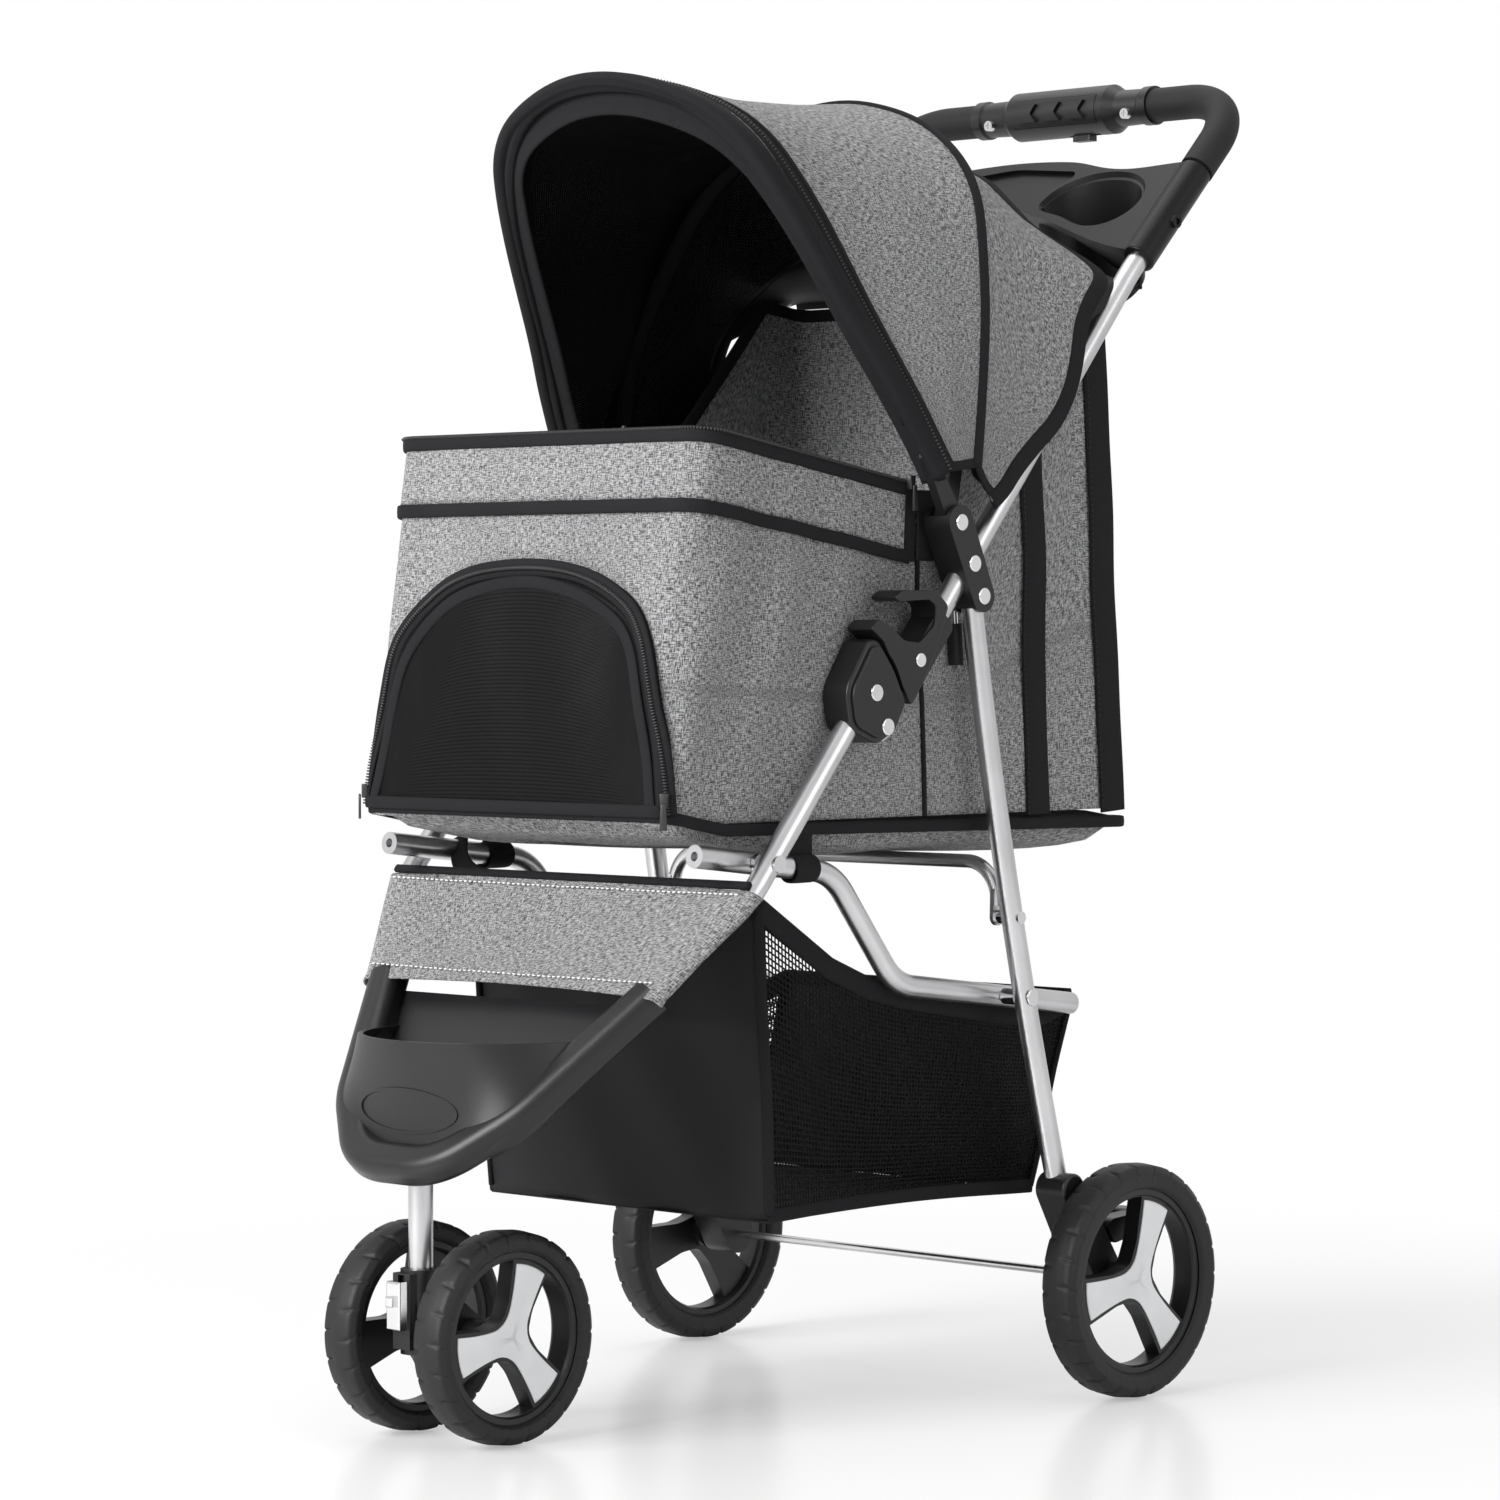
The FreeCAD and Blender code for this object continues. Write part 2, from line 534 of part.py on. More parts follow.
LATCH_ROUND = [1.5, 3.0, 40.0, 4.0, 8.0, 10.0, 1.5, 2.0, 4.0, 4.0, 8.0, 9.0, 8.0, 10.0, 2.5, 1.5, 4.0, 30.0]


def make_fold_joint():
    lug = rod_x(FOLD, LUG_R, FRAME_X - LUG_HALF, FRAME_X + LUG_HALF)
    neck_end = FOLD + U * (TUBE_START + 14.0)
    inside = TUBE / 2.0 - TUBE_WALL
    neck = Part.makeCylinder(inside, 14.0, at_x(FRAME_X, FOLD + U * TUBE_START), U)
    web = link(FOLD, 7.5, FOLD + U * TUBE_START, 7.5, FRAME_X - LUG_HALF, FRAME_X + LUG_HALF)
    web = web.cut(Part.makeCylinder(20, 40, at_x(FRAME_X, FOLD + U * TUBE_START), U))
    lug = lug.fuse([neck, web]).cut(rod_x(FOLD, FOLD_PIN_D / 2.0 + RUNNING, 0, 260))
    add_pair("pivot_lug", lug.removeSplitter())
    pins = [rivet(at, FOLD_PIN_D, HOUSING_IN, HOUSING_OUT) for at in (FOLD, HOUSING_RIVET)]
    parts["fold_pins"] = Part.makeCompound(pins + [mirrored(pin) for pin in pins])

    # moulded housing on the front leg: raised teardrop face, slot for the swinging lug
    body = plate(HOUSING, HOUSING_ROUND, HOUSING_IN, HOUSING_OUT - 2.5)
    body = body.makeFillet(2.5, face_edges(body, HOUSING_OUT - 2.5))
    raised = plate(grown(HOUSING, 0.88), [r * 0.88 for r in HOUSING_ROUND], HOUSING_OUT - 4.0, HOUSING_OUT)
    raised = raised.makeFillet(1.4, face_edges(raised, HOUSING_OUT))
    body = body.fuse(raised)
    slot_in = FRAME_X - LUG_HALF - SLIDING
    slot_out = FRAME_X + LUG_HALF + SLIDING
    clear = LUG_R + 1.0
    slot = link(FOLD, clear, FOLD + along(-20.0) * 40, clear, slot_in, slot_out)
    slot = slot.fuse(link(FOLD, clear, FOLD + U * 60.0, clear, slot_in, slot_out))
    slot = slot.fuse(link(FOLD, clear, FOLD + along(-70.0) * 40, clear, slot_in, slot_out))
    tube_sweep = rod_x(FOLD, 120.0, FRAME_X - TUBE / 2.0 - SLIDING, FRAME_X + TUBE / 2.0 + SLIDING)
    tube_sweep = tube_sweep.cut(rod_x(FOLD, TUBE_START - 1.0, 0, 260))
    behind = Part.makeBox(60, 300, 300, V(150, 0, -300))
    behind.rotate(V(0, 0, 0), V(1, 0, 0), FRAME_ANGLE)
    behind.translate(FOLD + N * (TUBE / 2.0 + SLIDING))
    body = body.cut([slot, tube_sweep.common(behind)])
    leg_bore = Part.makeCylinder(TUBE / 2.0, 80.0, at_x(FRAME_X, LEG_AXIS + U * LEG_REACH), U * -1)
    pin_holes = [rod_x(at, FOLD_PIN_D / 2.0, 0, 260) for at in (FOLD, HOUSING_RIVET)]
    body = body.cut([leg_bore] + pin_holes)
    add_pair("fold_housing", body.removeSplitter())

    # sliding latch: a sleeve round the handle tube with a finger hook and a lip over the housing
    latch = plate(LATCH, LATCH_ROUND, HOUSING_IN + 2.0, HOUSING_OUT)
    latch = latch.makeFillet(1.2, face_edges(latch, HOUSING_OUT))
    ends = [FOLD + U * s + N * n for s, n in ((36.0, -10.6), (100.0, -10.6), (100.0, 10.4), (46.0, 10.4))]
    sleeve = plate([(end.y, end.z) for end in ends], [2.0, 5.0, 5.0, 2.0], HOUSING_IN + 2.0, HOUSING_OUT - 2.0)
    bore = Part.makeCylinder(TUBE / 2.0 + SLIDING, 200.0, at_x(FRAME_X, FOLD), U)
    gap = plate([(y - 0.45, z) for y, z in HOUSING], HOUSING_ROUND, 150, 260)
    guard = plate(grown(HOUSING, 1.006), HOUSING_ROUND, 150, 260)
    hole = rod_x(LATCH_RIVET, 2.0, HOUSING_OUT - 6.0, 260)
    latch = latch.fuse(sleeve).cut([bore, gap, guard, hole, rod_x(FOLD, LUG_R + 2.0, 150, 260)])
    add_pair("fold_latch", latch.removeSplitter())
    shank = rod_x(LATCH_RIVET, 2.0, FRAME_X + TUBE / 2.0 + SLIDING, HOUSING_OUT + 0.5)
    seat = at_x(HOUSING_OUT, LATCH_RIVET)
    head = Part.makeCylinder(RIVET_HEAD - 1.0, HEAD_THICK, seat, V(1, 0, 0))
    head = head.makeFillet(HEAD_THICK * 0.6, [far_edge(head, HOUSING_OUT)])
    add_pair("latch_rivet", shank.fuse(head).removeSplitter())


# ---- front frame --------------------------------------------------------------------------
LEG_KNEE_Z = 372.0


def front_leg_wire():
    top = at_x(FRAME_X, LEG_AXIS + U * LEG_REACH)
    run = (LEG_AXIS.z - LEG_KNEE_Z) / math.sin(math.radians(FRAME_ANGLE))
    knee = at_x(FRAME_X, LEG_AXIS - U * run)
    inward = (EAR - knee).normalize()
    return rounded_wire([top, knee, EAR + inward * 26.0], [70.0])


def make_front_leg():
    stud_at = rail_point(RAIL_STUD_Y)
    leg = tube(front_leg_wire(), TUBE, TUBE_WALL)
    leg = leg.cut([rod_x(stud_at, PIN_D / 2.0, 0, 260), rod_x(HOUSING_RIVET, FOLD_PIN_D / 2.0, 0, 260)])
    add_pair("front_leg", leg)
    x0 = RAIL_X + TUBE / 2.0 + SLIDING
    x1 = FRAME_X + TUBE / 2.0
    washer = rod_x(stud_at, PIN_D / 2.0 + 4.0, x0, FRAME_X - TUBE / 2.0)
    stud = rod_x(stud_at, PIN_D / 2.0, x0, x1)
    head = Part.makeCylinder(RIVET_HEAD, HEAD_THICK, V(x1, stud_at.y, stud_at.z), V(1, 0, 0))
    add_both("rail_studs", washer.fuse([stud, head]).removeSplitter())


def nose_section(z, half, front, side, back):
    """Closed D outline of the nose at a height: straight back, rounded front.

    side is the Y where the front has turned into the flanks.
    """
    right = [V(half * 0.55, front + 0.25 * (side - front), z), V(half * 0.93, side, z), V(half, back, z)]
    left = [V(-p.x, p.y, p.z) for p in reversed(right)]
    curve = Part.BSplineCurve()
    curve.interpolate(left + [V(0, front, z)] + right)
    return Part.Wire([curve.toShape(), Part.LineSegment(right[-1], left[0]).toShape()])


RIM_DOWN = V(0, -math.cos(math.radians(RIM_SLOPE)), -math.sin(math.radians(RIM_SLOPE)))
RIM_OUT = V(0, -math.sin(math.radians(RIM_SLOPE)), math.cos(math.radians(RIM_SLOPE)))
# bowl of the nose, level by level: below the lip, half width, front, flank, back
BOWL = [(0.0, 99.0, -353.0, -292.0, -240.0), (30.0, 97.0, -347.0, -316.0, -262.0),
        (54.0, 88.0, -344.0, -331.0, -282.0), (76.0, 66.0, -346.0, -341.0, -304.0)]
# half of the rim's centre line: x, run down the slope from the ears, and the corner's radius
RIM_LINE = [(-133.0, -10.0, 0.0), (-84.0, 100.0, 80.0), (-38.0, 150.0, 55.0)]


def rim_point(x, run, out=0.0):
    """Point in the rim's plane: x, the run down its slope from the ears, and the way out of it."""
    return V(x, EAR.y, EAR.z) + RIM_DOWN * run + RIM_OUT * out


def nose_rim():
    """Broad U-shaped rim: from one leg socket down under the chin and up to the other."""
    half = [rim_point(x, run) for x, run, _ in RIM_LINE]
    other = [V(-p.x, p.y, p.z) for p in reversed(half)]
    radii = [radius for _, _, radius in RIM_LINE[1:]]
    path = rounded_wire(half + other, radii + radii[::-1])
    start = half[0]
    ahead = (half[1] - start).normalize()
    side = ahead.cross(RIM_OUT)
    corners = [start + side * (a * RIM_WIDE / 2.0) + RIM_OUT * (b * RIM_DEEP / 2.0)
               for a, b in ((-1, -1), (1, -1), (1, 1), (-1, 1))]
    shell = Part.BRepOffsetAPI.MakePipeShell(path)
    shell.setBiNormalMode(RIM_OUT)
    shell.add(rounded_wire(corners, [6.0, 6.0, 10.0, 10.0], closed=True))
    shell.build()
    shell.makeSolid()
    return shell.shape()


def ahead_of(depth):
    """Space in front of a plane that lies behind the rim's by depth."""
    a, b = rim_point(-200, -90, -depth), rim_point(-200, 230, -depth)
    corners = [a, b, b - V(0, 300, 0), a - V(0, 300, -60)]
    return Part.Face(Part.makePolygon(corners + corners[:1])).extrude(V(400, 0, 0))


def make_nose():
    """Moulded nose: broad rim with a leg socket at each end, bulging bowl, recessed back plate."""
    def bowl(shrink, raise_by, lowest):
        return Part.makeLoft([
            nose_section(NOSE_LIP - down + (4.0 if i == 0 else lowest) * raise_by, half - shrink,
                         front + shrink, side + shrink, back + 8.0)
            for i, (down, half, front, side, back) in enumerate(BOWL)], True)

    outer = bowl(0.0, 0.0, 0.0).common(ahead_of(RIM_DEEP / 2.0))
    hollow = bowl(NOSE_WALL, 1.0, 7.0).common(ahead_of(RIM_DEEP / 2.0 - NOSE_WALL))
    # raised outline of a bare oval badge field on the front of the bowl
    field = [Part.Face(Part.Wire(Part.Ellipse(V(0, -400, 0), 49.0 - w, 15.6 - w).toShape()))
             for w in (0.0, 1.6)]
    for face in field:
        face.rotate(V(0, -400, 0), V(1, 0, 0), 90)
        face.translate(V(0, 0, NOSE_LIP - 48.0))
    ring = field[0].cut(field[1]).extrude(V(0, 100, 0))
    proud = bowl(-0.9, 0.0, 0.0).common(ring)
    corners = [rim_point(x, run, -RIM_DEEP / 2.0)
               for x, run in ((-121, -3), (121, -3), (97, 56), (45, 140), (-45, 140), (-97, 56))]
    back = Part.Face(Part.makePolygon(corners + corners[:1])).extrude(RIM_OUT * NOSE_WALL)
    boss = Part.makeCylinder(STEM_D / 2.0 + 3.0, STEM_TOP - 182.0 + 4.0, V(0, STEM.y, 182.0))
    nose = outer.cut(hollow).fuse([proud, back, boss, nose_rim()])
    bores = [swept(front_leg_wire(), TUBE), mirrored(swept(front_leg_wire(), TUBE)),
             Part.makeCylinder(STEM_D / 2.0, 200.0, V(0, STEM.y, STEM_TOP - 200.0))]
    add("nose", nose.cut(bores).removeSplitter())
    stem = Part.makeCylinder(STEM_D / 2.0, STEM_TOP - STEM_FOOT, V(0, STEM.y, STEM_FOOT))
    stem = stem.cut(Part.makeCylinder(STEM_D / 2.0 - 2.0, 400.0, V(0, STEM.y, 0)))
    add("caster_stem", stem)


def make_front_panel():
    """Stiffened fabric panel in front of the front legs, from the rails down to the nose."""
    lift = N * (TUBE / 2.0 + SLIDING)
    top = LEG_AXIS - U * ((LEG_AXIS.z - 380.0) / math.sin(math.radians(FRAME_ANGLE))) + lift
    low = LEG_AXIS - U * ((LEG_AXIS.z - 318.0) / math.sin(math.radians(FRAME_ANGLE))) + lift
    corners = [V(-184, top.y, top.z), V(184, top.y, top.z), V(138, low.y, low.z), V(-138, low.y, low.z)]
    sheet = Part.Face(Part.makePolygon(corners + corners[:1])).extrude(N * 2.5)
    add("front_panel", sheet)


# ---- casters and wheels -------------------------------------------------------------------
def width_at(r, opening):
    """Half width of a spoke at a radius, flared towards the rim."""
    return 10.5 + 6.5 * (r / opening) ** 2


def make_wheel(name, axle, x, radius, width, opening, bore, outward):
    """Foam tyre on a three-spoke rim; spokes flare into the rim ring."""
    seat = opening + 5.5
    centre = V(x, axle.y, axle.z)
    half = width / 2.0

    def turned(outline):
        points = [centre + V(dx, 0, r) for dx, r in outline]
        return Part.Face(Part.makePolygon(points + points[:1])).revolve(centre, V(1, 0, 0), 360)

    crown = radius - 5.0
    tyre = turned([(-half + 5, seat), (half - 5, seat), (half - 1, seat + 3), (half, (seat + crown) / 2),
                   (half - 1.5, crown), (half - 6, radius - 1.2), (0, radius), (-half + 6, radius - 1.2),
                   (-half + 1.5, crown), (-half, (seat + crown) / 2), (-half + 1, seat + 3)])
    ring = turned([(-half + 5, opening + 1.5), (-half + 5, seat), (half - 5, seat), (half - 5, opening + 1.5),
                   (half - 8, opening), (-half + 8, opening)])
    # three broad spokes: a disc with three rounded windows, closed on the outer side
    disc = rod_x(axle, opening + 3.0, x - outward * 5.0, x + outward * (half - 7.0))
    ring_gap = rod_x(axle, opening, x - width, x + width)
    for i in range(3):
        side = [(width_at(r, opening) * -0.5 + r * 0.866, width_at(r, opening) * 0.866 + r * 0.5)
                for r in (opening * 0.42, opening * 1.12)]
        far = opening * 1.35
        outline = [(0.0, 15.0), side[0], side[1], (side[1][0], far), (-side[1][0], far),
                   (-side[1][0], side[1][1]), (-side[0][0], side[0][1])]
        window = plate(outline, [11.0, 30.0, 0.5, 0.5, 0.5, 0.5, 30.0], x - width, x + width)
        window.translate(V(0, axle.y, axle.z))
        window.rotate(centre, V(1, 0, 0), 120.0 * i + 40.0)
        disc = disc.cut(window.common(ring_gap))
    hub = rod_x(axle, 13.0, x - outward * (half - 3.0), x)
    rim = ring.fuse([hub, disc]).cut(rod_x(axle, bore, x - outward * width, x + outward * (AXLE_PAST + SLIDING)))
    add(name.replace("wheel", "tyre"), tyre)
    add(name.replace("wheel", "rim"), rim.removeSplitter())


def make_caster():
    """Swivel block that trails the axle behind the stem, with its lock at the front."""
    lower = V(0, STEM.y, 0)
    arm = link(V(0, STEM.y + 6, 92.0), 16.0, FRONT_AXLE, 13.0, -13.0, 13.0)
    base = STEM_FOOT - 4.0
    collar = Part.makeCylinder(14.0, BLOCK_TOP - base, V(0, STEM.y, base))
    hub = rod_x(FRONT_AXLE, 10.0, -28.0, 28.0)
    block = collar.fuse([arm, hub])
    bore = Part.makeCylinder(STEM_D / 2.0 + RUNNING, 200, lower + V(0, 0, STEM_FOOT - SLIDING))
    block = block.cut([bore, rod_x(FRONT_AXLE, FRONT_AXLE_D / 2.0, -80, 80)])
    front = STEM.y - 18.0
    case = box(-8.5, 8.5, front, STEM.y - 9.5, STEM_FOOT, 118.0)
    block = block.fuse(case)
    groove = box(-3.0 - SLIDING, 3.0 + SLIDING, front - 1.0, front + 3.5, 79.0, 117.0)
    add("swivel_block", block.cut(groove).removeSplitter())
    tongue = box(-3.0, 3.0, front - 1.0, front + 3.5 - SLIDING, 80.0, 108.0)
    slide = box(-7.0, 7.0, front - 8.0, front - SLIDING, 80.0, 113.0)
    slide = slide.makeFillet(1.5, [e for e in slide.Edges if e.BoundBox.YMax < front - 7.9])
    thumb = box(-3.5, 3.5, front - 12.0, front - 7.0, 96.0, 103.0)
    thumb = thumb.makeFillet(1.0, [e for e in thumb.Edges if e.BoundBox.YMax < front - 11.9])
    add("swivel_lock", slide.fuse([tongue, thumb]).removeSplitter())
    reach = FRONT_WHEEL_X + AXLE_PAST
    add("front_axle", rod_x(FRONT_AXLE, FRONT_AXLE_D / 2.0, -reach, reach))


# ---- seat rails and soft goods ------------------------------------------------------------
def make_seat_frame():
    path = rounded_wire([RAIL_FRONT, RAIL_KNEE, RAIL_HEEL, RAIL_REAR], [RAIL_BEND, RAIL_BEND])
    pivot = rail_point(RAIL_PIVOT_Y)
    rail = tube(path, TUBE, TUBE_WALL)
    add_pair("seat_rail", rail.cut(rod_x(pivot, PIN_D / 2.0 + RUNNING, 0, 165.0)))
    heading = (RAIL_KNEE - RAIL_FRONT).normalize()
    plug = Part.makeCylinder(TUBE / 2.0, 3.0, RAIL_FRONT - heading * 3.0, heading)
    plug = plug.fuse(Part.makeCylinder(TUBE / 2.0 - TUBE_WALL, 14.0, RAIL_FRONT, heading))
    plug = plug.cut(Part.makeCylinder(3.25, 12.0, RAIL_FRONT - heading * 4.0, heading))
    add_both("rail_plugs", plug.removeSplitter())


STRAP_WIDTH = 24.0
STRAP_THICK = 1.8
STRAP_AT = -116.0              # along Y, where the cabin hangs on the rails


def make_straps():
    """Webbing loops that tie the cabin down to the seat rails."""
    centre = rail_point(STRAP_AT)
    heading = (RAIL_KNEE - RAIL_FRONT).normalize()
    start = centre - heading * (STRAP_WIDTH / 2.0)
    loop = Part.makeCylinder(TUBE / 2.0 + STRAP_THICK, STRAP_WIDTH, start, heading)
    tail = box(CABIN_HALF, CABIN_HALF + STRAP_THICK, STRAP_AT - STRAP_WIDTH / 2.0,
               STRAP_AT + STRAP_WIDTH / 2.0, centre.z, 452.0)
    hole = Part.makeCylinder(TUBE / 2.0, 3 * STRAP_WIDTH, start - heading * STRAP_WIDTH, heading)
    strap = loop.fuse(tail).cut(hole)
    parts["seat_straps"] = Part.makeCompound(strap.Solids + mirrored(strap).Solids)


CABIN_SIDE = [(-246.0, 433.0), (-211.0, 690.0), (12.0, 655.0), (40.0, 668.0), (190.0, 808.0),
              (214.0, 800.0), (241.0, 412.0)]


def arch_face(hem, lean, shrink):
    """Arched face standing on the hem, narrower and lower by shrink on every side."""
    left = [hem + V(max(x - shrink, 0.0), 0, 0) + lean * (z + (shrink if z < 10 else -shrink))
            for x, z in DOOR_ARCH]
    right = [V(-p.x, p.y, p.z) for p in left[-2::-1]]
    curve = Part.BSplineCurve()
    curve.interpolate(left + right)
    return Part.Face(Part.Wire([curve.toShape(), Part.LineSegment(right[-1], left[0]).toShape()]))


def make_cabin():
    """Fabric cabin: floor, front, sides and back, open at the top in front of the canopy."""
    x = CABIN_HALF
    outer = Part.Face(Part.makePolygon([V(-x, y, z) for y, z in CABIN_SIDE + CABIN_SIDE[:1]]))
    outer = outer.extrude(V(2 * x, 0, 0))
    low, high = CABIN_SIDE[0], CABIN_SIDE[-1]
    inner_side = [(low[0] + CLOTH, low[1] + CLOTH), (CABIN_SIDE[1][0] + CLOTH, 760.0),
                  (150.0, 900.0), (CABIN_SIDE[5][0] - CLOTH, 900.0),
                  (CABIN_SIDE[5][0] - CLOTH, 800.0), (high[0] - CLOTH, high[1] + CLOTH)]
    inner = Part.Face(Part.makePolygon([V(-x + CLOTH, y, z) for y, z in inner_side + inner_side[:1]]))
    inner = inner.extrude(V(2 * (x - CLOTH), 0, 0))
    # arched doorway, and the mesh door in front of it, hinged on its bottom hem
    lean = V(0, CABIN_SIDE[1][0] - low[0], CABIN_SIDE[1][1] - low[1]).normalize()
    out = V(0, -lean.z, lean.y)
    hem = V(0, low[0], low[1])
    doorway = arch_face(hem, lean, DOOR_SHRINK).extrude(out * 4 * CLOTH)
    add("cabin", outer.cut([inner, doorway.translated(out * (-2 * CLOTH))]))
    add("mesh_door", arch_face(hem + out * SLIDING, lean, 0.0).extrude(out * DOOR_THICK))


def arch_wire(angle, points):
    """Arch across the canopy in a plane through the bow pivots.

    Each point is a half width and a distance from the pivot axis, from the foot to the crown.
    """
    ray = along(angle)
    left = [BOW_PIVOT + V(x, 0, 0) + ray * r for x, r in points]
    right = [BOW_PIVOT + V(-x, 0, 0) + ray * r for x, r in points[:-1]]
    curve = Part.BSplineCurve()
    curve.interpolate(left + right[::-1])
    return curve


FRONT_ARCH = [(188.0, 42.0), (171.0, 130.0), (154.0, 214.0), (134.0, 284.0), (93.0, 338.0), (0.0, 362.0)]
MIDDLE_ARCH = [(190.0, 42.0), (182.0, 130.0), (160.0, 205.0), (130.0, 262.0), (80.0, 302.0), (0.0, 322.0)]
REAR_ARCH = [(191.0, 42.0), (189.0, 110.0), (185.0, 190.0), (160.0, 238.0), (90.0, 262.0), (0.0, 270.0)]
FRONT_BOW_ANGLE, MIDDLE_BOW_ANGLE, REAR_HEM_ANGLE = 120.0, 77.0, 46.0
CANOPY_CLOTH = 3.0


def shrunk(points, by):
    return [(x - by if x else 0.0, r - (0.0 if r < 60 else by)) for x, r in points]


def canopy_body(by, front, rear):
    rings = []
    for angle, arch in ((front, FRONT_ARCH), (MIDDLE_BOW_ANGLE, MIDDLE_ARCH), (rear, REAR_ARCH)):
        curve = arch_wire(angle, shrunk(arch, by)).toShape()
        ends = curve.valueAt(curve.LastParameter), curve.valueAt(curve.FirstParameter)
        rings.append(Part.Wire([curve, Part.LineSegment(*ends).toShape()]))
    return Part.makeLoft(rings, True)


def make_canopy():
    outer = canopy_body(0.0, FRONT_BOW_ANGLE, REAR_HEM_ANGLE)
    inner = canopy_body(CANOPY_CLOTH, FRONT_BOW_ANGLE + 0.4, REAR_HEM_ANGLE - 0.4)
    under = Part.makeCylinder(60.0, 420.0, V(-210, BOW_PIVOT.y, BOW_PIVOT.z), V(1, 0, 0))
    hem = outer.cut(inner).cut(under)
    add("canopy", hem)

    # bows: bent wire in the front hem and under the middle seam, with moulded feet
    for name, angle, arch, x0, x1 in (
            ("bow_front", FRONT_BOW_ANGLE, FRONT_ARCH, FRAME_X + SLIDING, SLOT_OUT - 0.6),
            ("bow_middle", MIDDLE_BOW_ANGLE, MIDDLE_ARCH, SLOT_IN + 0.6, FRAME_X - SLIDING)):
        ray = along(angle)
        middle = (x0 + x1) / 2.0
        inset = CANOPY_CLOTH + 3.8
        line = [(middle, 36.0), (middle - 1.0, 56.0)]
        line += [(x - inset if x else 0.0, r - inset) for x, r in arch[1:]]
        wire = Part.Wire(arch_wire(angle, line).toShape())
        rod = swept(wire, 5.0)
        foot = link(BOW_PIVOT, 8.0, BOW_PIVOT + ray * 52.0, 5.5, x0, x1)
        foot = foot.cut(rod_x(BOW_PIVOT, PIN_D / 2.0 + RUNNING, 0, 260))
        add(name, rod)
        add_both(name + "_feet", foot.cut(rod))


def make_basket():
    """Open fabric basket slung from the seat rails and the front legs."""
    x, t = BASKET_HALF, BASKET_CLOTH
    side = [(-132.0, 146.0), (-152.0, 372.0), (-92.0, 330.0), (-26.0, 306.0), (18.0, 302.0),
            (74.0, 296.0), (80.0, 281.0), (153.0, 271.0), (157.0, 284.0), (188.0, 280.0), (144.0, 146.0)]
    outer = Part.Face(Part.makePolygon([V(-x, y, z) for y, z in side + side[:1]])).extrude(V(2 * x, 0, 0))
    inner_side = [(side[0][0] + t, side[0][1] + t), (side[1][0] + t, 420.0), (side[-2][0] - t, 420.0),
                  (side[-2][0] - t, side[-2][1]), (side[-1][0] - t, side[-1][1] + t)]
    inner = Part.Face(Part.makePolygon([V(-x + t, y, z) for y, z in inner_side + inner_side[:1]]))
    add("basket", outer.cut(inner.extrude(V(2 * (x - t), 0, 0))))


make_handle()
make_grip()
make_tray()
make_rear_frame()
make_brake()
make_leg_bracket()
make_fold_joint()
make_front_leg()
make_nose()
make_front_panel()
for way, hand in ((1, "left"), (-1, "right")):
    make_wheel("rear_wheel_" + hand, REAR_AXLE, way * REAR_WHEEL_X, REAR_WHEEL_R, REAR_WHEEL_W,
               REAR_OPENING_R, AXLE_D / 2.0 + RUNNING, way)
    make_wheel("front_wheel_" + hand, FRONT_AXLE, way * FRONT_WHEEL_X, FRONT_WHEEL_R, FRONT_WHEEL_W,
               FRONT_OPENING_R, FRONT_AXLE_D / 2.0 + RUNNING, way)
make_caster()
make_seat_frame()
make_straps()
make_cabin()
make_canopy()
make_basket()

os.makedirs("parts", exist_ok=True)
for name, shape in parts.items():
    shape.exportStep("parts/" + name + ".step")
print(len(parts), "parts")
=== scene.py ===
import json
import math

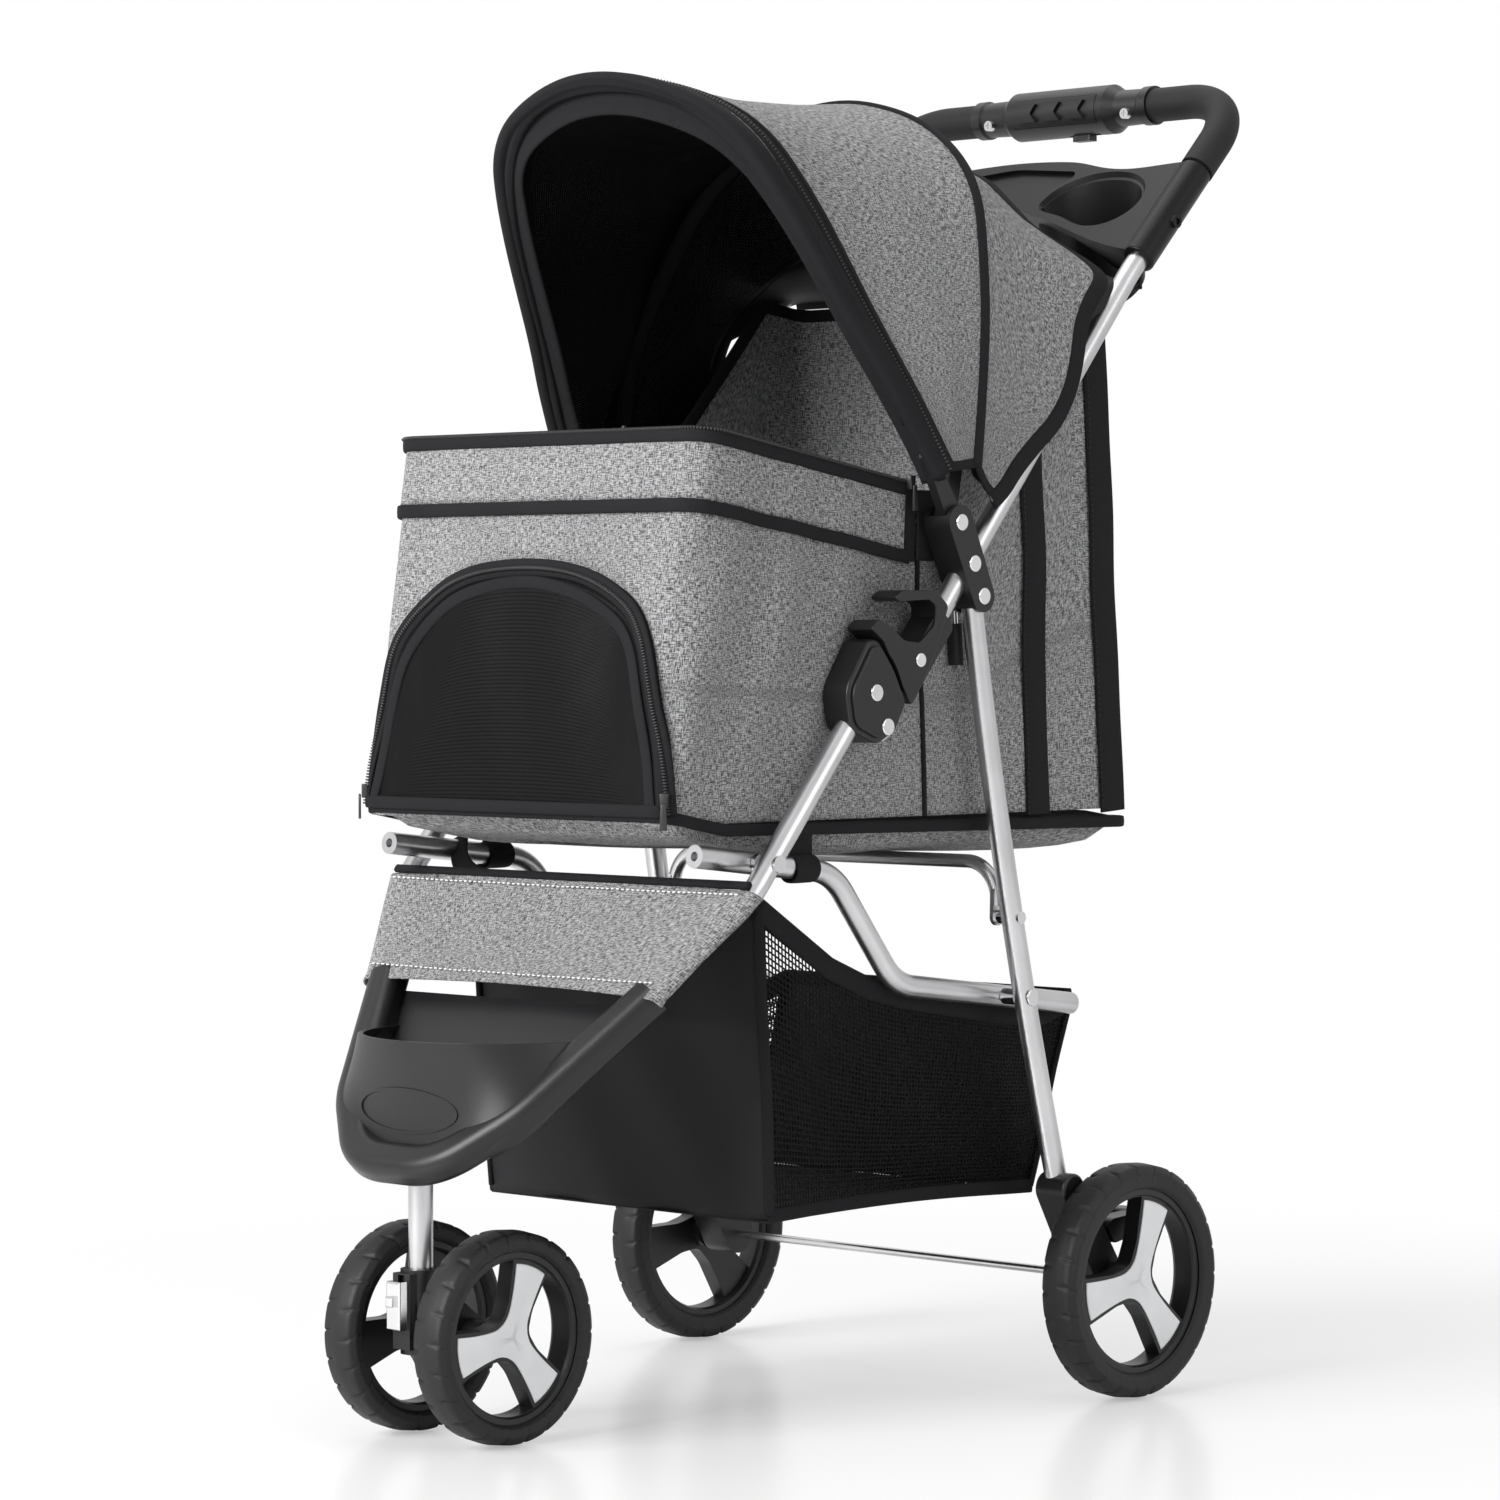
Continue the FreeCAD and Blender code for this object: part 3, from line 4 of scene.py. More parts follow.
import bpy
import numpy as np
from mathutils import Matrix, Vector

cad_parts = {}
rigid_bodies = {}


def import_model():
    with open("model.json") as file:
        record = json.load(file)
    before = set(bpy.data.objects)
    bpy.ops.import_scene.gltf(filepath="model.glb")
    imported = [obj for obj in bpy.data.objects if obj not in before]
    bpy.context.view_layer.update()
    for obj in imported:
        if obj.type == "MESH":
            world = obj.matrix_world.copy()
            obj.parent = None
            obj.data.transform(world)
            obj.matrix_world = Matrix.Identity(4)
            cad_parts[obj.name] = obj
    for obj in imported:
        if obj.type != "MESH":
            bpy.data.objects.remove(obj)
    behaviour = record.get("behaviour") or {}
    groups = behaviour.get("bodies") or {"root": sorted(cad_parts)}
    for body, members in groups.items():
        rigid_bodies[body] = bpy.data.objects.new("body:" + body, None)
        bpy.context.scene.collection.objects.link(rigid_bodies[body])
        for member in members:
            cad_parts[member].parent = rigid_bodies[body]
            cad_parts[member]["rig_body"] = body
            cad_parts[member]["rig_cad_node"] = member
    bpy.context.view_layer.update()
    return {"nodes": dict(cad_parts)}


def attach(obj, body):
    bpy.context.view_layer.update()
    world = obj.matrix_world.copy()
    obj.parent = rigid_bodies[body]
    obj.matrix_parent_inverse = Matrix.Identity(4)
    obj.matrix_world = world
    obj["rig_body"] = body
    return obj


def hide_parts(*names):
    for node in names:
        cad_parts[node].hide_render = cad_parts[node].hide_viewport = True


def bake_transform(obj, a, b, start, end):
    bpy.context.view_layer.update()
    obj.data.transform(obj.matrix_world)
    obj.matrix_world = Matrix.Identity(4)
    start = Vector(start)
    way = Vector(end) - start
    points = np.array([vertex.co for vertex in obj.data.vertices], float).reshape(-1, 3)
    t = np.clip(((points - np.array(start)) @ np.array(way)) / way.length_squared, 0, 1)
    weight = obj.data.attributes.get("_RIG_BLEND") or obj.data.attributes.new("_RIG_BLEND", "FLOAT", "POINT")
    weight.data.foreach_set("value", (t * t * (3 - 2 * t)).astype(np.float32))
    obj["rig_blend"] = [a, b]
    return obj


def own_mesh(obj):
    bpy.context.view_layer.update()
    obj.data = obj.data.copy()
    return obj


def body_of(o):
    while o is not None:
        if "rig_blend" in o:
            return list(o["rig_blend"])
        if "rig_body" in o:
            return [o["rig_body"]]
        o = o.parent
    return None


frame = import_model()

# ---- view, stage and light ----
# The stroller stands on a pale sweep and is seen from its front left corner, just above
# axle height, with a long lens. Two large soft lamps and a white room light it.
camera_data = bpy.data.cameras.new("camera")
camera_data.lens = 118.4
camera_data.sensor_width = 36.0
camera_data.clip_end = 40.0
camera = bpy.data.objects.new("camera", camera_data)
camera.location = (2.493, -2.597, 0.557)
camera.rotation_euler = (math.radians(90.0 - 1.41), 0.0, math.radians(43.89))
bpy.context.scene.collection.objects.link(camera)
bpy.context.scene.camera = camera
bpy.context.scene.view_settings.view_transform = "Standard"


def shader_node(tree, kind, **inputs):
    """Node of a kind, with values for its numbered (_0, _1) or named inputs."""
    node = tree.nodes.new(kind)
    for key, value in inputs.items():
        socket = node.inputs[int(key[1:])] if key[0] == "_" else node.inputs[key.replace("_", " ")]
        if isinstance(value, bpy.types.NodeSocket):
            tree.links.new(value, socket)
        else:
            socket.default_value = value
    return node


def math_node(tree, operation, *values):
    """Math node's output for one, two or three values or sockets."""
    node = tree.nodes.new("ShaderNodeMath")
    node.operation = operation
    for socket, value in zip(node.inputs, values):
        if isinstance(value, bpy.types.NodeSocket):
            tree.links.new(value, socket)
        else:
            socket.default_value = value
    return node.outputs[0]


room = bpy.data.worlds.new("room")
room.use_nodes = True
bpy.context.scene.world = room
tree = room.node_tree
tree.nodes.clear()
path = tree.nodes.new("ShaderNodeLightPath")
seen = math_node(tree, "MAXIMUM", path.outputs["Is Camera Ray"], path.outputs["Is Transmission Ray"])
strength = math_node(tree, "MULTIPLY_ADD", seen, 0.50, 0.50)
strength = math_node(tree, "MAXIMUM", strength, math_node(tree, "MULTIPLY", path.outputs["Is Glossy Ray"], 0.8))
backdrop = shader_node(tree, "ShaderNodeBackground", Color=(1.0, 1.0, 1.0, 1.0), Strength=strength)
tree.links.new(backdrop.outputs[0], tree.nodes.new("ShaderNodeOutputWorld").inputs[0])

for name, place, turn, size, power in (
    ("key_lamp", (-0.5, -3.3, 2.0), (math.radians(66), 0.0, math.radians(-9)), 2.0, 165.0),
    ("side_lamp", (3.6, 0.4, 1.8), (math.radians(68), 0.0, math.radians(100)), 2.0, 22.0),
    ("top_lamp", (-0.6, 0.4, 3.4), (math.radians(-8), math.radians(-8), 0.0), 2.4, 34.0),
):
    lamp_data = bpy.data.lights.new(name, "AREA")
    lamp_data.size = size
    lamp_data.energy = power
    lamp = bpy.data.objects.new(name, lamp_data)
    lamp.location = place
    lamp.rotation_euler = turn
    bpy.context.scene.collection.objects.link(lamp)

floor_mesh = bpy.data.meshes.new("floor")
floor_mesh.from_pydata(
    [(-9, -9, -0.0004), (9, -9, -0.0004), (9, 9, -0.0004), (-9, 9, -0.0004)], [], [(0, 1, 2, 3)])
floor = bpy.data.objects.new("floor", floor_mesh)
bpy.context.scene.collection.objects.link(floor)
pale = bpy.data.materials.new("pale_floor")
pale.use_nodes = True
tree = pale.node_tree
tree.nodes.clear()
paint = shader_node(tree, "ShaderNodeBsdfPrincipled", Base_Color=(0.90, 0.90, 0.90, 1.0), Roughness=0.22)
white = shader_node(tree, "ShaderNodeEmission", Color=(1.0, 1.0, 1.0, 1.0), Strength=1.0)
spot = tree.nodes.new("ShaderNodeTexCoord").outputs["Object"]
reach = shader_node(tree, "ShaderNodeVectorMath", _0=spot)
reach.operation = "LENGTH"
fade = shader_node(tree, "ShaderNodeMapRange", Value=reach.outputs["Value"], From_Min=0.50, From_Max=1.35)
fade.interpolation_type = "SMOOTHSTEP"
lit = math_node(tree, "MULTIPLY_ADD", fade.outputs[0], 0.60, 0.40)
lit = math_node(tree, "MULTIPLY", lit, tree.nodes.new("ShaderNodeLightPath").outputs["Is Camera Ray"])
mixed = shader_node(tree, "ShaderNodeMixShader", Fac=lit, _1=paint.outputs[0], _2=white.outputs[0])
tree.links.new(mixed.outputs[0], tree.nodes.new("ShaderNodeOutputMaterial").inputs[0])
floor_mesh.materials.append(pale)

# ---- steel frame ----
# Drawn steel tube with a satin silver coat, and bright plated pins, rivets and axles.
# The tubes are bent cold and joined by through rivets.


def new_group(name, inputs, outputs):
    """Empty shader node group with typed inputs (name, kind, value) and outputs."""
    group = bpy.data.node_groups.new(name, "ShaderNodeTree")
    kinds = {"value": "NodeSocketFloat", "colour": "NodeSocketColor", "vector": "NodeSocketVector"}
    for label, kind, value in inputs:
        socket = group.interface.new_socket(name=label, in_out="INPUT", socket_type=kinds[kind])
        if value is not None:
            socket.default_value = value
    for label, kind in outputs:
        group.interface.new_socket(name=label, in_out="OUTPUT", socket_type=kinds[kind])
    return group, group.nodes.new("NodeGroupInput").outputs, group.nodes.new("NodeGroupOutput").inputs


# grain: rounded fine lumps of a moulded or coated skin, and a slow cloudiness
grain, given, wanted = new_group(
    "grain", [("Vector", "vector", None), ("Size", "value", 900.0), ("Depth", "value", 0.5)],
    [("Height", "value"), ("Cloud", "value")])
fine = shader_node(grain, "ShaderNodeTexNoise", Vector=given["Vector"], Scale=given["Size"], Detail=3.0)
slow = shader_node(grain, "ShaderNodeTexNoise", Vector=given["Vector"], Scale=22.0, Detail=4.0)
grain.links.new(math_node(grain, "MULTIPLY", fine.outputs[0], given["Depth"]), wanted["Height"])
grain.links.new(slow.outputs[0], wanted["Cloud"])


TINT = 0.18     # share by which a skin's colour clouds to either side


def new_material(name, gleam):
    """Principled material, its node tree and its shader."""
    material = bpy.data.materials.new(name)
    material.use_nodes = True
    bsdf = material.node_tree.nodes["Principled BSDF"]
    bsdf.inputs["Specular IOR Level"].default_value = gleam
    return material, material.node_tree, bsdf


def two_tone(tree, bsdf, dark, light, factor, height, bump):
    """Base colour mixed from dark to light by a factor, and a bump from a height."""
    mix = tree.nodes.new("ShaderNodeMix")
    mix.data_type = "RGBA"
    mix.inputs["A"].default_value = (*dark, 1.0)
    mix.inputs["B"].default_value = (*light, 1.0)
    tree.links.new(factor, mix.inputs["Factor"])
    tree.links.new(mix.outputs["Result"], bsdf.inputs["Base Color"])
    raised = shader_node(tree, "ShaderNodeBump", Height=height, Distance=bump)
    tree.links.new(raised.outputs[0], bsdf.inputs["Normal"])


def plain_material(name, colour, roughness, spread, size, depth, metallic=0.0, bump=0.00015, gleam=0.5):
    """Principled material whose roughness clouds by spread and whose skin has the grain's bump."""
    material, tree, bsdf = new_material(name, gleam)
    bsdf.inputs["Metallic"].default_value = metallic
    coordinates = tree.nodes.new("ShaderNodeTexCoord")
    skin = tree.nodes.new("ShaderNodeGroup")
    skin.node_tree = grain
    tree.links.new(coordinates.outputs["Object"], skin.inputs["Vector"])
    skin.inputs["Size"].default_value = size
    skin.inputs["Depth"].default_value = depth
    shade = shader_node(tree, "ShaderNodeMapRange", Value=skin.outputs["Cloud"], To_Min=roughness - spread,
                        To_Max=roughness + spread)
    tree.links.new(shade.outputs[0], bsdf.inputs["Roughness"])
    two_tone(tree, bsdf, [c * (1 - TINT) for c in colour], [min(c * (1 + TINT), 1.0) for c in colour],
             skin.outputs["Cloud"], skin.outputs["Height"], bump)
    return material


def coat_nodes(material, *names):
    """Gives CAD nodes, named in full or by how they start, a material."""
    for name, node in frame["nodes"].items():
        if name.startswith(names):
            for slot in node.material_slots:
                slot.material = material


satin_steel = plain_material("satin_steel", (0.60, 0.60, 0.61), 0.30, 0.05, 1400.0, 0.4, metallic=1.0)
bright_steel = plain_material("bright_steel", (0.78, 0.78, 0.79), 0.17, 0.04, 900.0, 0.3, metallic=1.0)
coat_nodes(satin_steel, "handle_bar", "rear_leg", "front_leg", "seat_rail", "rear_brace", "caster_stem",
           "bow_front", "bow_middle", "pivot_lug", "rail_plugs")
coat_nodes(bright_steel, "rear_axle", "front_axle", "rail_pins", "bracket_pins", "fold_pins", "latch_rivet",
           "rail_studs", "brace_rivets", "grip_screws")

# ---- black mouldings ----
# Injection moulded nylon joints, brackets, tray, grip and nose, with a fine spark grain
# that leaves them satin, and closed-cell foam sleeves on the handle.
satin_black = plain_material("satin_black", (0.009, 0.009, 0.010), 0.33, 0.05, 2600.0, 0.6, gleam=0.42)
soft_black = plain_material("soft_black", (0.009, 0.009, 0.010), 0.62, 0.08, 1500.0, 1.0, bump=0.0004, gleam=0.3)
coat_nodes(satin_black, "axle_bracket", "brake_pedal", "leg_bracket", "fold_housing", "fold_latch",
           "bow_front_feet", "bow_middle_feet", "trigger", "safety_button", "grip_housing",
           "nose", "swivel_block")
tray_black = plain_material("tray_black", (0.006, 0.006, 0.007), 0.30, 0.05, 2600.0, 0.6, gleam=0.20)
coat_nodes(tray_black, "tray")
coat_nodes(soft_black, "grip_foam")
coat_nodes(bright_steel, "swivel_lock")
coat_nodes(satin_black, "front_rim", "rear_rim")
coat_nodes(soft_black, "front_tyre", "rear_tyre")


# ---- cabin cloth ----
# Heathered grey polyester sewn into an open tub: two sides, a front with an arched doorway,
# a back panel and a soft base. Black tape binds every seam.
SEAT, GREY, BLACK = "seat_frame", "grey_cloth", "black_cloth"
SIDES = (("left", 1), ("right", -1))


def running(path):
    """Running length from the first to every point of a path."""
    steps = np.linalg.norm(np.diff(np.asarray(path, float), axis=0), axis=1)
    return np.concatenate([[0.0], np.cumsum(steps)])


def read_path(at, run, path):
    """Values of a path at running lengths."""
    return np.stack([np.interp(at, run, column) for column in path.T], -1)


def cut_corners(line, times):
    """Chaikin's corner cutting: each corner is cut at a quarter of its sides, and the ends stay."""
    for _ in range(times):
        cut = np.stack([line[:-1] * 0.75 + line[1:] * 0.25, line[:-1] * 0.25 + line[1:] * 0.75], 1)
        line = np.concatenate([line[:1], cut.reshape(-1, line.shape[1]), line[-1:]])
    return line


def unit(vectors):
    """Vectors brought to length 1."""
    return vectors / np.linalg.norm(vectors, axis=-1, keepdims=True)


def square_to(out, ahead):
    """Unit vectors of out made square to the unit vectors ahead."""
    return unit(out - (out * ahead).sum(1, keepdims=True) * ahead)


def grid_faces(rows, columns, wrap=False, turned=False):
    """Quads of a grid, row by row; wrap closes each row on itself, turned looks the other way."""
    r = np.arange(rows - 1)[:, None]
    c = np.arange(columns if wrap else columns - 1)[None, :]
    a = r * columns + c
    b = r * columns + (c + 1) % columns
    quads = np.stack([a, b, b + columns, a + columns], -1).reshape(-1, 4)
    return quads[:, ::-1] if turned else quads


def piece(name, vertices, faces, material, body, uv=None):
    """Mesh object with its place in its mesh, riding on a body unless that is None."""
    mesh = bpy.data.meshes.new(name)
    mesh.from_pydata(np.asarray(vertices, float).reshape(-1, 3).tolist(), [], [list(f) for f in faces])
    if uv is not None:
        layer = mesh.uv_layers.new(name="UVMap")
        corners = np.empty(len(mesh.loops), np.int32)
        mesh.loops.foreach_get("vertex_index", corners)
        layer.data.foreach_set("uv", np.asarray(uv, np.float32).reshape(-1, 2)[corners].ravel())
    mesh.polygons.foreach_set("use_smooth", np.ones(len(mesh.polygons), bool))
    mesh.materials.append(material)
    item = bpy.data.objects.new(name, mesh)
    bpy.context.scene.collection.objects.link(item)
    if body is not None:
        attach(item, body)
    return item


def cloth_lengths(points):
    """UV in metres: mean running length along the rows and along the columns of a grid."""
    along = np.linalg.norm(np.diff(points, axis=1), axis=-1).mean(0)
    up = np.linalg.norm(np.diff(points, axis=0), axis=-1).mean(1)
    u = np.concatenate([[0.0], np.cumsum(along)])
    v = np.concatenate([[0.0], np.cumsum(up)])
    return np.stack(np.broadcast_arrays(u[None, :], v[:, None]), -1)


def sheet_piece(name, points, material, body=SEAT, thick=0.0012, wrap=False, turned=False, drop=None):
    """Cloth from a grid of points, given its thickness inwards; drop leaves out marked quads."""
    rows, columns = points.shape[:2]
    faces = grid_faces(rows, columns, wrap, turned)
    if drop is not None:
        faces = faces[~drop]
    item = piece(name, points, faces, material, body, cloth_lengths(points))
    wall = item.modifiers.new("thickness", "SOLIDIFY")
    wall.thickness = thick
    wall.offset = -1.0
    return item


# linen: light and dark slubs of two crossing yarns on the cloth's own lengths
linen, given, wanted = new_group(
    "linen", [("Vector", "vector", None), ("Contrast", "value", 1.0)], [("Shade", "value"), ("Height", "value")])
warp = shader_node(linen, "ShaderNodeMapping", Vector=given["Vector"], Scale=(1500.0, 210.0, 1.0))
weft = shader_node(linen, "ShaderNodeMapping", Vector=given["Vector"], Scale=(210.0, 1500.0, 1.0))
warp_slub = shader_node(linen, "ShaderNodeTexNoise", Vector=warp.outputs[0], Scale=1.0, Detail=3.0, Roughness=0.6)
weft_slub = shader_node(linen, "ShaderNodeTexNoise", Vector=weft.outputs[0], Scale=1.0, Detail=3.0, Roughness=0.6)
both = math_node(linen, "ADD", warp_slub.outputs[0], weft_slub.outputs[0])
both = math_node(linen, "MULTIPLY_ADD", both, 0.5, -0.5)
shade = math_node(linen, "MULTIPLY_ADD", both, given["Contrast"], 0.5)
linen.links.new(shade, wanted["Shade"])
split = shader_node(linen, "ShaderNodeSeparateXYZ", Vector=given["Vector"])
thread_u = math_node(linen, "SINE", math_node(linen, "MULTIPLY", split.outputs[0], 9500.0))
thread_v = math_node(linen, "SINE", math_node(linen, "MULTIPLY", split.outputs[1], 9500.0))
threads = math_node(linen, "MULTIPLY", thread_u, thread_v)
linen.links.new(math_node(linen, "MULTIPLY_ADD", threads, 0.25, shade), wanted["Height"])


def cloth_material(name, dark, light, contrast, sheen=0.2, bump=0.0004, roughness=0.9, gleam=0.5):
    """Woven cloth: the linen group's shade runs from a dark to a light yarn."""
    material, tree, bsdf = new_material(name, gleam)
    bsdf.inputs["Roughness"].default_value = roughness
    bsdf.inputs["Sheen Weight"].default_value = sheen
    weave = tree.nodes.new("ShaderNodeGroup")
    weave.node_tree = linen
    tree.links.new(tree.nodes.new("ShaderNodeTexCoord").outputs["UV"], weave.inputs["Vector"])
    weave.inputs["Contrast"].default_value = contrast
    two_tone(tree, bsdf, dark, light, weave.outputs["Shade"], weave.outputs["Height"], bump)
    return material


grey_linen = cloth_material("grey_linen", (0.040, 0.040, 0.042), (0.70, 0.70, 0.71), 9.5, bump=0.0006)
black_tape = cloth_material("black_tape", (0.006, 0.006, 0.007), (0.018, 0.018, 0.020), 1.2, sheen=0.0,
                            bump=0.0003, gleam=0.2)
black_nylon = cloth_material("black_nylon", (0.007, 0.007, 0.008), (0.016, 0.016, 0.018), 0.8, sheen=0.0,
                             bump=0.0002, roughness=0.6, gleam=0.25)
thread_pale = plain_material("thread_pale", (0.80, 0.80, 0.80), 0.8, 0.05, 3000.0, 0.5)
zip_black = plain_material("zip_black", (0.02, 0.02, 0.021), 0.4, 0.05, 2000.0, 0.4)

CABIN_HALF = 0.153
FRONT_ROUND, REAR_ROUND = 0.016, 0.012
FRONT_Y, REAR_Y, HEM_Z = -0.246, 0.239, 0.424


def cabin_plan(length):
    """Point and outward direction on the hem's rounded rectangle at a running length.

    The length starts at the middle of the back and goes round by the left side. Straight runs
    and quarter circles follow one another; x, y come from the run that the length falls in.
    """
    half, f, r = CABIN_HALF, FRONT_ROUND, REAR_ROUND
    runs = np.array([half - r, r * math.pi / 2, REAR_Y - FRONT_Y - f - r, f * math.pi / 2, 2 * (half - f),
                     f * math.pi / 2, REAR_Y - FRONT_Y - f - r, r * math.pi / 2, half - r])
    ends = np.cumsum(runs)
    starts = ends - runs
    length = np.mod(np.asarray(length, float), ends[-1])
    run = np.minimum(np.searchsorted(ends, length, side="right"), 8)
    rest = length - starts[run]
    x0 = np.array([0, half - r, half, half - f, half - f, -(half - f), -half, -(half - r), -(half - r)])[run]
    y0 = np.array([REAR_Y, REAR_Y - r, REAR_Y - r, FRONT_Y + f, FRONT_Y, FRONT_Y + f, FRONT_Y + f,
                   REAR_Y - r, REAR_Y])[run]
    dx = np.array([1, 0, 0, 0, -1, 0, 0, 0, 1])[run]
    dy = np.array([0, 0, -1, 0, 0, 0, 1, 0, 0])[run]
    radius = np.array([0, r, 0, f, 0, f, 0, r, 0])[run]
    first = np.radians(np.array([90, 90, 0, 0, -90, -90, 180, 180, 90]))[run]
    turn = np.where(radius > 0, first - rest / np.maximum(radius, 1e-9), first)
    x = np.where(radius > 0, x0 + radius * np.cos(turn), x0 + dx * rest)
    y = np.where(radius > 0, y0 + radius * np.sin(turn), y0 + dy * rest)
    return x, y, np.cos(turn), np.sin(turn), ends[-1]


CABIN_ROUND = float(cabin_plan(0.0)[4])
LEFT_REAR = CABIN_HALF - REAR_ROUND + REAR_ROUND * math.pi / 2     # where the left side starts


def side_length(y, sign=1):
    """Running length at a hem y on the left side (sign 1) or the right side (sign -1)."""
    length = LEFT_REAR + (REAR_Y - REAR_ROUND) - np.asarray(y, float)
    return length if sign > 0 else CABIN_ROUND - length


def rim_height(y):
    """Top edge of the tub: high in front, down to the joints, up along the handle tubes."""
    return np.interp(y, [-0.246, -0.01, 0.014, 0.045, 0.19, 0.239],
                     [0.690, 0.656, 0.652, 0.672, 0.806, 0.800])


def cabin_wall(length, z, proud=0.0):
    """Cloth wall at a running length and height, pushed out by proud.

    The hem plan leans in with height, each panel swells between its seams as a product of two
    sines, low crossing waves give the soft creases, and upright folds gather beside the corners.
    """
    length, z = np.broadcast_arrays(np.asarray(length, float), np.asarray(z, float))
    x, y, nx, ny, _ = cabin_plan(length)
    depth = (y - FRONT_Y) / (REAR_Y - FRONT_Y)
    rise = z - HEM_Z
    lean = (1 - depth) * rise * 0.1406 - depth * rise * 0.0760
    top = rim_height(y)
    up = np.clip(rise / (top - HEM_Z), 0, 1)
    side = np.clip(np.abs(nx), 0, 1)
    front = np.clip(-ny, 0, 1)
    swell = side * 0.006 * np.sin(math.pi * up) * np.sin(math.pi * np.clip((y + 0.246) / 0.245, 0, 1)) ** 2
    swell += front * 0.009 * np.sin(math.pi * up ** 0.8) * np.cos(np.clip(x / CABIN_HALF, -1, 1) * math.pi / 2)
    swell += side * 0.004 * np.sin(math.pi * up) * np.sin(math.pi * np.clip((y - 0.01) / 0.11, 0, 1)) ** 2
    crease = 0.0011 * np.sin(38 * y + 21 * z + 3 * x) * np.sin(11 * z + 17 * y)
    crease += 0.0008 * np.sin(95 * y - 33 * z + 40 * x) * np.sin(29 * z)
    crease += 0.0009 * np.sin(70 * x + 20 * z) * front
    drift = y - 0.17 * rise + 0.004 * np.sin(31 * z)
    crease += side * 0.0030 * np.sin(100.0 * drift + 0.8) * np.exp(-((y + 0.17) / 0.11) ** 2)
    crease += side * 0.0016 * np.sin(64.0 * (y + 0.5 * rise)) * np.exp(-((y - 0.08) / 0.10) ** 2)
    crease += front * 0.0016 * np.sin(86.0 * np.abs(x) - 24.0 * rise) * np.exp(-((np.abs(x) - 0.13) / 0.04) ** 2)
    out = proud + swell + crease * np.sin(math.pi * np.clip(up, 0.05, 1)) ** 0.5
    return np.stack([x + nx * out, y + lean + ny * out, z], -1)


ARCH = np.array([(0.150, 0.431), (0.1445, 0.470), (0.1345, 0.511), (0.1255, 0.545), (0.110, 0.567),
                 (0.092, 0.5795), (0.070, 0.590), (0.040, 0.5975), (0.0, 0.600)])


def arch_line(count, shrink=0.0):
    """Doorway outline (x, z), rounded and evenly spaced, from left foot over crown to right foot."""
    half = ARCH.copy()
    half[:, 0] = np.maximum(half[:, 0] - shrink, 0.0)
    half[:, 1] = np.where(half[:, 1] > 0.44, half[:, 1] - shrink, half[:, 1])
    line = cut_corners(np.concatenate([half, half[-2::-1] * [-1, 1]]), 4)
    run = running(line)
    return read_path(np.linspace(0, run[-1], count), run, line)


def front_length(x):
    """Running length on the front at x."""
    return CABIN_ROUND / 2 - np.asarray(x, float)


SILL_Z, SILL_HALF = 0.437, 0.1475     # height and half width of the doorway's foot
columns, rows = 300, 70
lengths = np.linspace(0, CABIN_ROUND, columns, endpoint=False)
tops = rim_height(cabin_plan(lengths)[1])
heights = HEM_Z + np.linspace(0, 1, rows)[:, None] * (tops - HEM_Z)[None, :]
# the doorway: quads inside the arch go, and the wall's edge is drawn on to the arch
door_edge = arch_line(241)
across = CABIN_ROUND / 2 - lengths
half_width = np.interp(heights, door_edge[:121, 1], door_edge[:121, 0], left=0.0, right=0.0)
inside = (np.abs(across)[None, :] < half_width - 0.004) & (heights > SILL_Z)
quads = grid_faces(rows, columns, wrap=True)
drop = inside.ravel()[quads].all(1)
foot_line = np.stack([np.linspace(-SILL_HALF, SILL_HALF, 120), np.full(120, SILL_Z)], -1)
sill = np.concatenate([door_edge, foot_line[np.abs(foot_line[:, 0]) < half_width.max() - 0.001]])
sill = sill[sill[:, 1] >= SILL_Z]
spot = np.stack([np.broadcast_to(across, heights.shape)[inside], heights[inside]], -1)
nearest = sill[((spot[:, None] - sill[None]) ** 2).sum(2).argmin(1)]
wall_run = np.broadcast_to(lengths, heights.shape).copy()
wall_run[inside], heights[inside] = CABIN_ROUND / 2 - nearest[:, 0], nearest[:, 1]
wall = cabin_wall(wall_run, heights)
cabin = sheet_piece("cabin_cloth", wall, grey_linen, wrap=True, turned=True, drop=drop)
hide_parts("cabin")

PROFILE_POINTS = 12


def carried(path, out, profile, closed=False):
    """Points of a profile carried along a path.

    Each point is path + a * across + b * out, where (a, b) is the profile's point, out is given
    and across is out crossed with the path's direction, found by central differences.
    """
    path, out = np.asarray(path, float), np.asarray(out, float)
    if closed:
        ahead = np.roll(path, -1, 0) - np.roll(path, 1, 0)
    else:
        ahead = np.gradient(path, axis=0)
    ahead = unit(ahead)
    out = square_to(out, ahead)
    across = np.cross(out, ahead)
    profile = np.asarray(profile, float)
    return path[:, None] + profile[None, :, :1] * across[:, None] + profile[None, :, 1:] * out[:, None]


def flat_profile(width, thick):
    """Flattened round outline: cos and sin are raised to powers below 1, so the ends stay full."""
    turn = np.linspace(0, 2 * math.pi, PROFILE_POINTS, endpoint=False)
    c, s = np.cos(turn), np.sin(turn)
    return np.stack([width / 2 * np.sign(c) * np.abs(c) ** 0.5,
                     thick / 2 * np.sign(s) * np.abs(s) ** 0.7], -1)


